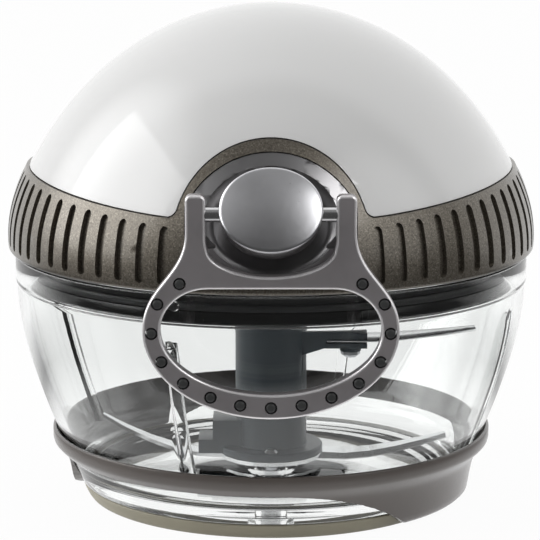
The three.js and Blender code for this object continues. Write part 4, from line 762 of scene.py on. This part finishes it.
# Lid seal: a ring of dark moulded rubber, stretched into the skirt's groove. Its rounded lip
# faces the inside of the bowl's rim.
seal_profile = [(72.8, 71.3), (73.9, 71.3), (74.2, 71.7), (74.3, 72.3)]
seal_profile += [(74.2, 72.9), (73.9, 73.3), (72.8, 73.3)]
seal = turned("lid_seal_ring", seal_profile, 160)
ease_edges(seal, 0.2, 2, 30)
dark_rubber = rubber("dark_rubber", (0.028, 0.029, 0.029, 1), 0.5)
dress(seal, dark_rubber, "lid", "dark_rubber", "lid_seal")

# Reel: the centre axle with its retainer, the coupling with its clutch disc, three pawls, the
# spool with its winding, the return spring in its housing, and the screws. All hidden in the lid.
paint_node("reel_axle", pin_steel)
spring_steel = metal("spring_steel", (0.2, 0.22, 0.26, 1), 0.25, 0.1, (1, 1, 9))
paint_node("axle_retainer", spring_steel)
paint_node("return_spring", spring_steel)
paint_node("drive_coupling", slate_plastic)
for number in (1, 2, 3):
    paint_node(f"clutch_pawl_{number}", zinc_steel)
    paint_node(f"housing_screw_{number}", zinc_steel)
paint_node("cord_spool", natural_nylon)
wound = bpy.data.materials.new("cord_turns")
turns = blank(wound)
place = turns.node("TexCoord", out=3)
height = turns.node("SeparateXYZ", out="Z", Vector=place)
relief = (height * (pi / (2 * CORD_RADIUS * MM))).math("SINE").math("ABSOLUTE")
flattened = turns.node("Mapping", Vector=place, Scale=(1, 1, 3))
strands = turns.node("TexNoise", Vector=flattened, Scale=1500, Detail=3)
# The base colour paints shade into the grooves between the wound turns, with a random strand tone
# on top.
surface = turns.node(
    "BsdfPrincipled",
    Base_Color=(relief.between(0, 0.5) * 0.7 + strands * 0.3).mix(CORD_GROOVE_SHADE, CORD_PALE),
    Roughness=strands * 0.2 + 0.6,
    Normal=turns.node("Bump", Strength=0.8, Distance=0.0005, Height=relief + strands * 0.1),
)
turns.node("OutputMaterial", Surface=surface)
paint_node("cord_winding", wound)
satin_black = moulded("satin_black", (0.012, 0.012, 0.012, 1), 0.3)
paint_node("spring_housing", satin_black)
paint_node("spring_cover", satin_black)

# Dome cover: glossy white plastic, moulded with the ball's curve. Its edge follows the collar's
# seam and arch, a lap under it sits inside the collar, and three towers inside take its screws.
# Its front is left plain.
BALL_RADIUS, BALL_HEIGHT, BALL_Z = 85, 97.65, 53.35
COLLAR_RADIUS, SEAM_Z, SEAM_RISE = 80.2, 96.6, 6.9
ARCH_RADIUS, ARCH_Z, ARCH_FILLET = 27.5, 91.4, 3.4
DOME_FOOT_Z, DOME_WALL, SEAM_GAP = 90, 3.4, 0.3
CUT_REACH, CUT_FOOT_Z = 91, 40


def ball_radius(z):
    """Radius of the ball's outside at a height."""
    return BALL_RADIUS * sqrt(1 - ((z - BALL_Z) / BALL_HEIGHT) ** 2)


def ball_curve(offset, from_z, steps):
    """The ball's profile from a height to its top, so far outside its own surface."""
    wide, high = BALL_RADIUS + offset, BALL_HEIGHT + offset
    angles = spread(asin((from_z - BALL_Z) / BALL_HEIGHT), pi / 2, steps)
    return [(wide * cos(a), BALL_Z + high * sin(a)) for a in angles[:-1]] + [(0, BALL_Z + high)]


def seam(x):
    """Height of the line between dome and collar. It rises to the sides."""
    return SEAM_Z + SEAM_RISE * (x / COLLAR_RADIUS) ** 2


def arch_outline(grow):
    """The line between dome and collar as seen from the front, moved up by a gap."""
    radius, fillet = ARCH_RADIUS + grow, ARCH_FILLET - grow
    x = sqrt((radius + fillet) ** 2 - (seam(radius) + ARCH_FILLET - ARCH_Z) ** 2)
    z = seam(x) + ARCH_FILLET
    tilt = degrees(atan2(z - ARCH_Z, x))
    side = [(u, seam(u) + grow) for u in spread(CUT_REACH, x + fillet, 24)]
    corner = arc(x, z, fillet, fillet, 270, 180 + tilt, 8)[1:]
    crown = arc(0, ARCH_Z, radius, radius, tilt, 180 - tilt, 48)[1:-1]
    half = side + corner
    return half + crown + [(-u, v) for u, v in reversed(half)]


def below_seam(name, grow):
    """All that lies under the seam: its front half has the arch, its rear half has none."""
    foot = [(-CUT_REACH, CUT_FOOT_Z), (CUT_REACH, CUT_FOOT_Z)]
    front = slab(name, foot + arch_outline(grow), -CUT_REACH, 0)
    rear_line = [(u, seam(u) + grow) for u in spread(CUT_REACH, -CUT_REACH, 48)]
    carve(front, slab("rear_half", foot + rear_line, 0, CUT_REACH), "UNION")
    return front


outer_ball = ball_curve(0, DOME_FOOT_Z, 56)
inner_ball = ball_curve(-DOME_WALL, DOME_FOOT_Z, 40)
dome = turned("dome_shell", outer_ball + inner_ball[::-1], 192)
carve(dome, below_seam("under_dome", SEAM_GAP))
lap_line = ball_curve(-2.9, DOME_FOOT_Z, 24) + ball_curve(-4.1, DOME_FOOT_Z, 24)[::-1]
lap = turned("dome_lap", lap_line, 144)
carve(lap, below_seam("lap_reach", 3.4), "INTERSECT")
carve(lap, below_seam("lap_foot", -2.4))
carve(dome, lap, "UNION")
ball_inside = [(0, 60), (83, 60)] + ball_curve(-DOME_WALL / 2, 62, 24)
for azimuth in (-100, 100, 180):
    tower = screw_post(70, 82, 122, 4.2, round_axis(65.4, azimuth))
    carve(tower, turned("inside_ball", ball_inside, 96), "INTERSECT")
    carve(dome, tower, "UNION")
ease_edges(dome, 0.35, 3, 30)
apply_modifier(dome, "WEIGHTED_NORMAL", keep_sharp=True)

gloss_white = bpy.data.materials.new("gloss_white")
shell = blank(gloss_white)
place = shell.node("TexCoord", out=3)
orange_peel = shell.node("TexNoise", Vector=place, Scale=260, Detail=2)
tint = shell.node("TexNoise", Vector=place, Scale=9, Detail=3)
surface = shell.node(
    "BsdfPrincipled",
    Base_Color=tint.between(0.3, 0.7).mix((0.71, 0.71, 0.705, 1), (0.68, 0.68, 0.675, 1)),
    Roughness=orange_peel * 0.06 + 0.08,
    Coat_Weight=0.6,
    Coat_Roughness=0.04,
    Normal=shell.node("Bump", Strength=0.12, Distance=0.00005, Height=orange_peel),
)
shell.node("OutputMaterial", Surface=surface)
dress(dome, gloss_white, "lid", "white_cover", "dome_cover")
for number in (1, 2, 3):
    paint_node(f"dome_screw_{number}", zinc_steel)

# Grip collar: bronze-taupe lacquer with fine speckles on plastic. Its side bulges, its arch runs
# over the knob, and upright grooves with round ends are cut in it every five degrees for grip.
COLLAR_FOOT_Z, SHOULDER_TURN_Z, ARCH_TOP_Z, PROUD = 77, 98, 122.1, 0.9
collar_height = SHOULDER_TURN_Z - COLLAR_FOOT_Z
collar_shoulder = ball_radius(SHOULDER_TURN_Z) + PROUD
collar_side = bezier(
    (COLLAR_RADIUS, COLLAR_FOOT_Z + 1.4),
    (COLLAR_RADIUS * 1.005, COLLAR_FOOT_Z + collar_height * 0.43),
    (collar_shoulder + 2.5, COLLAR_FOOT_Z + collar_height * 0.72),
    (collar_shoulder, SHOULDER_TURN_Z),
    14,
)
upper_heights = spread(SHOULDER_TURN_Z, ARCH_TOP_Z, 12)[1:]
collar_line = collar_side + [(ball_radius(z) + PROUD, z) for z in upper_heights]


def collar_shell(name, outer, inner):
    """A shell that follows the collar, between two distances from its surface."""
    edge = COLLAR_RADIUS + outer
    foot = [(COLLAR_RADIUS + inner, COLLAR_FOOT_Z), (edge - 1.2, COLLAR_FOOT_Z)]
    foot += [(edge - 0.5, COLLAR_FOOT_Z + 0.3), (edge - 0.1, COLLAR_FOOT_Z + 0.8)]
    outside = [(r + outer, z) for r, z in collar_line]
    inside = [(r + inner, z) for r, z in collar_line]
    return turned(name, foot + outside + inside[::-1], 192)


OPENING_HALF, OPENING_RADIUS, OPENING_Z, OPENING_FLOOR, OPENING_BEND = 24.2, 27, 88.7, 80.6, 7


def opening_outline(grow):
    """The collar's opening for the recess: upright sides, round corners and a round top."""
    half, radius = OPENING_HALF + grow, OPENING_RADIUS + grow
    tilt = degrees(atan2(sqrt(radius * radius - half * half), half))
    crown = arc(0, OPENING_Z, radius, radius, tilt, 180 - tilt, 48)
    floor, bend = OPENING_FLOOR - grow, OPENING_BEND + grow
    corner = arc(half - bend, floor + bend, bend, bend, 270, 360, 10)
    return [(-u, v) for u, v in reversed(corner)] + corner + crown


collar = collar_shell("grip_collar_shell", 0, -3.2)
carve(collar, below_seam("collar_reach", 0), "INTERSECT")
carve(collar, slab("recess_opening", opening_outline(0), -CUT_REACH, 0))

GROOVE_COUNT, GROOVE_HALF, GROOVE_DEPTH = 72, 1.35, 1.5
GROOVE_LOW_Z, TOP_MARGIN, TOP_ROUND, PLAIN_FRONT = 80.5, 2.2, 1.8, 21.5
low_end = arc(0, GROOVE_LOW_Z, GROOVE_HALF, GROOVE_HALF, 180, 360, 10)
cutters = []
for count in range(GROOVE_COUNT):
    azimuth = (count + 0.5) * 360 / GROOVE_COUNT
    if min(azimuth, 360 - azimuth) > PLAIN_FRONT:
        top = seam(COLLAR_RADIUS * sin(radians(azimuth))) - TOP_MARGIN - TOP_ROUND
        high_end = arc(0, top, GROOVE_HALF, TOP_ROUND, 0, 180, 10)
        groove = slab("grip_groove", low_end + high_end, -95, -70)
        put(groove, rotation=(0, 0, azimuth))
        cutters.append(groove)
grooves = joined(cutters)
carve(grooves, collar_shell("groove_depth", 2, -GROOVE_DEPTH), "INTERSECT")
carve(collar, grooves)
ease_edges(collar, 0.4, 3, 35)
apply_modifier(collar, "WEIGHTED_NORMAL", keep_sharp=True)


def lacquer(name, base, light_speck, dark_speck):
    """Metallic lacquer: small light and dark flakes in a base colour, under a thin clear coat."""
    finish = bpy.data.materials.new(name)
    skin = blank(finish)
    place = skin.node("TexCoord", out=3)
    flakes = skin.node("TexVoronoi", Vector=place, Scale=1900)
    flecks = skin.node("TexNoise", Vector=place, Scale=2300, Detail=2)
    flow = skin.node("TexNoise", Vector=place, Scale=30, Detail=4)
    mottled = flecks.between(0.5, 0.72).mix(base, light_speck)
    surface = skin.node(
        "BsdfPrincipled",
        Base_Color=(flakes.between(0.52, 0.75) * 0.7).mix(mottled, dark_speck),
        Metallic=0.75,
        Roughness=flecks * 0.2 + flow * 0.08 + 0.26,
        Coat_Weight=0.6,
        Coat_Roughness=0.2,
        Normal=skin.node("Bump", Strength=0.3, Distance=0.00004, Height=flecks),
    )
    skin.node("OutputMaterial", Surface=surface)
    return finish


bronze = lacquer(
    "bronze_lacquer",
    base=(0.14, 0.124, 0.1, 1),
    light_speck=(0.26, 0.235, 0.195, 1),
    dark_speck=(0.08, 0.069, 0.055, 1),
)
dress(collar, bronze, "lid", "bronze_grip", "grip_collar")

# Pull recess: gunmetal lacquer on plastic. A rim stands in the collar's opening, an oval dish
# leans with the knob behind it, and a pocket at each side takes the handle's arms.
KNOB_AT = (0, -83.5, 100.8)
KNOB_TILT = (-28, 0, 0)
DISH_WIDE, DISH_HIGH, NARROWER, LOWER = 23.4, 18.6, 5.4, 4.1
DISH_MOUTH, DISH_DEPTH, DISH_RISE, FLOOR_BEND = 2.5, 10, 1.6, 2.4


def stack(name, rings):
    """A closed skin over ovals, each (half width, half height, place along Y, rise along Z)."""
    bpy.ops.object.select_all(action="DESELECT")
    wide, high, along, rise = rings[0]
    centre = (0, along * MM, rise * MM)
    bpy.ops.mesh.primitive_circle_add(
        vertices=96, radius=MM, fill_type="NGON", rotation=(pi / 2, 0, 0), location=centre
    )
    piece = bpy.context.object
    piece.name = name
    bpy.ops.object.transform_apply(location=True, rotation=True)
    bpy.ops.object.mode_set(mode="EDIT")
    bpy.ops.mesh.select_all(action="SELECT")
    bpy.ops.transform.resize(value=(wide, 1, high), center_override=centre)
    for next_wide, next_high, next_along, next_rise in rings[1:]:
        step = (0, (next_along - along) * MM, (next_rise - rise) * MM)
        bpy.ops.mesh.extrude_region_move(TRANSFORM_OT_translate={"value": step})
        centre = (0, next_along * MM, next_rise * MM)
        growth = (next_wide / wide, 1, next_high / high)
        bpy.ops.transform.resize(value=growth, center_override=centre)
        wide, high, along, rise = next_wide, next_high, next_along, next_rise
    tidy_mesh()
    return piece


def rod(name, radius, start, end, rise=0):
    """A round bar along Y."""
    return stack(name, [(radius, radius, start, rise), (radius, radius, end, rise)])


def dish(name, grow):
    """The dish: it flares at its mouth, narrows inwards and bends round into its floor."""
    wide, high, flare = DISH_WIDE + grow, DISH_HIGH + grow, 0.6
    rings = [
        (wide + NARROWER * flare, high + LOWER * flare, DISH_MOUTH - 6, DISH_RISE),
        (wide, high, DISH_MOUTH, DISH_RISE),
    ]
    for share in (0.25, 0.5, 0.7, 0.83, 0.92, 0.98, 1):
        past_bend = max(0, share - 0.6) / 0.4
        bend = (1 - sqrt(max(0, 1 - past_bend ** 2))) * FLOOR_BEND
        half_sizes = (wide - NARROWER * share - bend, high - LOWER * share - bend)
        along = DISH_MOUTH + (DISH_DEPTH + grow) * share
        rings.append((*half_sizes, along, DISH_RISE * (1 - share)))
    hollow = stack(name, rings)
    put(hollow, KNOB_AT, KNOB_TILT)
    return hollow


bezel = collar_shell("pull_recess", -0.5, -2.9)
carve(bezel, slab("rim_window", opening_outline(-SEAM_GAP), -CUT_REACH, 0), "INTERSECT")
cup = dish("dish_cup", 2)
carve(cup, collar_shell("behind_rim", -1.7, -29), "INTERSECT")
carve(cup, slab("cup_window", opening_outline(-SEAM_GAP), -CUT_REACH, 0), "INTERSECT")
carve(bezel, cup, "UNION")
carve(bezel, dish("dish_hollow", 0))
carve(bezel, rod("eyelet_bore", 4.5, -CUT_REACH, -42, CORD_Z))
floor_at = KNOB_AT[1] + (DISH_MOUTH + DISH_DEPTH) * cos(radians(KNOB_TILT[0]))
for side in (-1, 1):
    pocket = [(side * x, z) for x, z in oblong(15.4, 22.6, 90, 108.4)]
    carve(bezel, slab("arm_pocket", pocket, -CUT_REACH, floor_at - 2.6))
ease_edges(bezel, 0.35, 3, 35)
gunmetal = metal(
    "gunmetal_lacquer", (0.33, 0.325, 0.33, 1), 0.27, 0.04, wear=0.03, height=0.000001
)
dress(bezel, gunmetal, "lid", "gunmetal_plastic", "pull_bezel")

# Cord eyelet: a pressed steel ring with a rounded mouth. It sits in the bore in the dish's floor,
# and the cord bends and slides over it.
paint_node("cord_eyelet", pin_steel)

# Knob: an oval body of gunmetal plastic on the pull cord's end, with a bore for the handle's axle
# and a boss behind that takes the cord's end. A satin silver cap, slightly crowned, closes it.
KNOB_WIDE, KNOB_HIGH, CROWN, AXLE_RADIUS = 14.3, 12.3, 1.4, 2.05


def knob_ring(share, along):
    return (KNOB_WIDE * share, KNOB_HIGH * share, along, 0)


body_shape = ((0.87, 4.4), (0.91, 4.1), (0.96, 3.2), (0.97, 2.4), (0.97, -2.7))
knob_body = stack("knob_shell", [knob_ring(share, along) for share, along in body_shape])
carve(knob_body, stack("knob_boss", [(7, 7, 3.8, 0), (7, 7, 9.0, 0), (6.6, 6.6, 9.4, 0)]), "UNION")
carve(knob_body, rod("boss_bore", 1.6, 2, 12, -4))
axle_bore = rod("axle_bore", AXLE_RADIUS + 0.3, -20, 20)
put(axle_bore, rotation=(0, 0, 90))
carve(knob_body, axle_bore)
ease_edges(knob_body, 0.3, 3, 35)
put(knob_body, KNOB_AT, KNOB_TILT)
dress(knob_body, gunmetal, "knob", "gunmetal_plastic", "knob_body")

cap_edge = ((0.3, -3.0), (0, -3.3), (0, -4.1), (0.15, -4.5), (0.5, -4.75), (1, -4.85))
cap_rings = [(KNOB_WIDE - inset, KNOB_HIGH - inset, along, 0) for inset, along in cap_edge]
for share in (0.82, 0.7, 0.55, 0.4, 0.25, 0.1, 0.02):
    cap_rings.append(knob_ring(share, -4.7 - CROWN * (1 - share ** 2)))
knob_cap = stack("knob_face", cap_rings)
ease_edges(knob_cap, 0.2, 2, 60)
put(knob_cap, KNOB_AT, KNOB_TILT)
satin_silver = metal("satin_silver", (0.68, 0.68, 0.7, 1), 0.26, 0.08, wear=0.06)
dress(knob_cap, satin_silver, "knob", "satin_silver", "knob_cap")

# Handle axle: a turned steel bar with chamfered ends. It passes through the knob from side to
# side, and its ends carry the handle's arms.
AXLE_HALF, CHAMFER = 21.6, 0.45
end_ring = (AXLE_RADIUS - CHAMFER, AXLE_RADIUS - CHAMFER)
axle_rings = [(*end_ring, -AXLE_HALF, 0), (AXLE_RADIUS, AXLE_RADIUS, CHAMFER - AXLE_HALF, 0)]
axle_rings += [(AXLE_RADIUS, AXLE_RADIUS, AXLE_HALF - CHAMFER, 0), (*end_ring, AXLE_HALF, 0)]
axle = stack("handle_axle_bar", axle_rings)
put(axle, rotation=(0, 0, 90))
put(axle, KNOB_AT)
ease_edges(axle, 0.1, 2, 60)
axle_steel = metal("axle_steel", (0.7, 0.7, 0.71, 1), 0.16, 0.06, (9, 1, 1))
dress(axle, axle_steel, "knob", "stainless_steel", "handle_axle")

# Handle: a flat bail of satin gunmetal plastic with rounded edges, painted in a lighter copy of
# its finish as a painted highlight. Its arms hang on the axle, a cross-bar dips between them, and
# an oval ring takes three fingers. A channel in its back and fifteen holes take the grip insert.
RING_Z, RING_WIDE, RING_HIGH, HALF_THICK = -32.3, 35.6, 25.2, 2.3
NUBS = 15
side_line = bezier((23.6, -4.8), (23.6, -17.1), (RING_WIDE, -19.7), (RING_WIDE, RING_Z), 22)
ring_line = arc(0, RING_Z, RING_WIDE, RING_HIGH, 0, -90, 26)[1:]
arm_end = arc(19.6, 4, 1.6, 1.6, 180, 90, 6) + arc(22, 4, 1.6, 1.6, 90, 0, 6)
dip = arc(0, -9.2, 17.6, 7.9, -90, -6, 16) + [(18, -7.6)]
right_half = dip + arm_end + side_line + ring_line
handle_line = right_half + [(-x, z) for x, z in reversed(right_half[1:-1])]
hole_half = arc(17.5, RING_Z, 13.1, 11.7, 90, 0, 16)
hole_half += arc(0, RING_Z, 30.6, 18.2, 0, -90, 22)[1:]
hole_line = hole_half + [(-x, z) for x, z in reversed(hole_half[:-1])]
handle = slab("handle_bail", handle_line, -HALF_THICK, HALF_THICK)
satin = {"brushed": 0.06, "height": 0.000002}
bail_grey = metal("bail_grey", (0.44, 0.415, 0.425, 1), 0.3, wear=0.06, bare=0.7, **satin)
# Painted highlight: a lighter, shinier copy of the bail's grey, given to the rounded edges so that
# they look lit.
painted_highlight_edge = metal("painted_highlight_edge", (0.86, 0.84, 0.85, 1), 0.22, wear=0.1, bare=0.6, **satin)
handle.data.materials.append(bail_grey)
handle.data.materials.append(painted_highlight_edge)
# The slot of the painted highlight, taken by the rounded edges.
HIGHLIGHT_SLOT = 1
carve(handle, slab("finger_hole", hole_line, -9, 9))
ease_edges(handle, 0.7, 4, 50, finish=HIGHLIGHT_SLOT)

NUB_WIDE, NUB_HIGH = 33.1, 21.9
grip_side = bezier((25.2, -19), (29.8, -20.9), (NUB_WIDE, -25.7), (NUB_WIDE, RING_Z), 40)
grip_low = arc(0, RING_Z, NUB_WIDE, NUB_HIGH, 0, -180, 240)[1:-1]
grip_line = grip_side + grip_low + [(-x, z) for x, z in reversed(grip_side)]


def evenly(line, count):
    """Points at even steps along a line."""
    lengths = [0]
    for (x0, z0), (x1, z1) in zip(line, line[1:]):
        lengths.append(lengths[-1] + hypot(x1 - x0, z1 - z0))
    points = []
    for i in range(count):
        goal = lengths[-1] * i / (count - 1)
        at = max(k for k, length in enumerate(lengths[:-1]) if length <= goal + 1e-9)
        share = (goal - lengths[at]) / (lengths[at + 1] - lengths[at])
        (x0, z0), (x1, z1) = line[at], line[at + 1]
        points.append((x0 + (x1 - x0) * share, z0 + (z1 - z0) * share))
    return points


nub_places = evenly(grip_line, NUBS)


def along_grip(width, reach):
    """The outline of a strip that follows the nubs and reaches past both end ones."""
    points = evenly(grip_line, 60)
    for end, inner in ((0, 1), (-1, -2)):
        (x, z), (inner_x, inner_z) = points[end], points[inner]
        longer = reach / hypot(x - inner_x, z - inner_z)
        points[end] = (x + (x - inner_x) * longer, z + (z - inner_z) * longer)
    near, far = [], []
    for i, (x, z) in enumerate(points):
        (x0, z0), (x1, z1) = points[max(i - 1, 0)], points[min(i + 1, len(points) - 1)]
        dx, dz = x1 - x0, z1 - z0
        length = hypot(dx, dz)
        near.append((x + dz / length * width / 2, z - dx / length * width / 2))
        far.append((x - dz / length * width / 2, z + dx / length * width / 2))
    return near + far[::-1]


carve(handle, slab("grip_channel", along_grip(3.8, 1.9), 0.8, 9))
sockets = []
for x, z in nub_places:
    nub_socket = stack("nub_socket", [(1.75, 1.75, along, 0) for along in (-6, -2.1, 6)])
    put(nub_socket, location=(x, 0, z))
    sockets.append(nub_socket)
carve(handle, joined(sockets))
arm_bore = rod("arm_bore", AXLE_RADIUS + 0.1, -AXLE_HALF - 0.3, AXLE_HALF + 0.3)
put(arm_bore, rotation=(0, 0, 90))
carve(handle, arm_bore)
ease_edges(handle, 0.25, 2, 50, finish=HIGHLIGHT_SLOT)
apply_modifier(handle, "WEIGHTED_NORMAL", keep_sharp=True)
put(handle, KNOB_AT)
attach(handle, "handle")
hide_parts("handle_frame")

# Grip insert: a strip of dark moulded rubber in the channel of the bail's back. Its fifteen nubs
# are pressed through the bail and stand a little proud at the front, with round heads.
NUB_SHAPE = ((1.35, 1.6), (1.35, -2.2), (1.2, -2.45), (0.85, -2.6), (0.3, -2.67))
grip = slab("grip_strip", along_grip(3.2, 1.6), 1.1, HALF_THICK)
for x, z in nub_places:
    nub = stack("grip_nub", [(radius, radius, along, 0) for radius, along in NUB_SHAPE])
    put(nub, location=(x, 0, z))
    carve(grip, nub, "UNION")
ease_edges(grip, 0.12, 2, 50)
put(grip, KNOB_AT)
dress(grip, dark_rubber, "handle", "dark_rubber", "grip_insert")
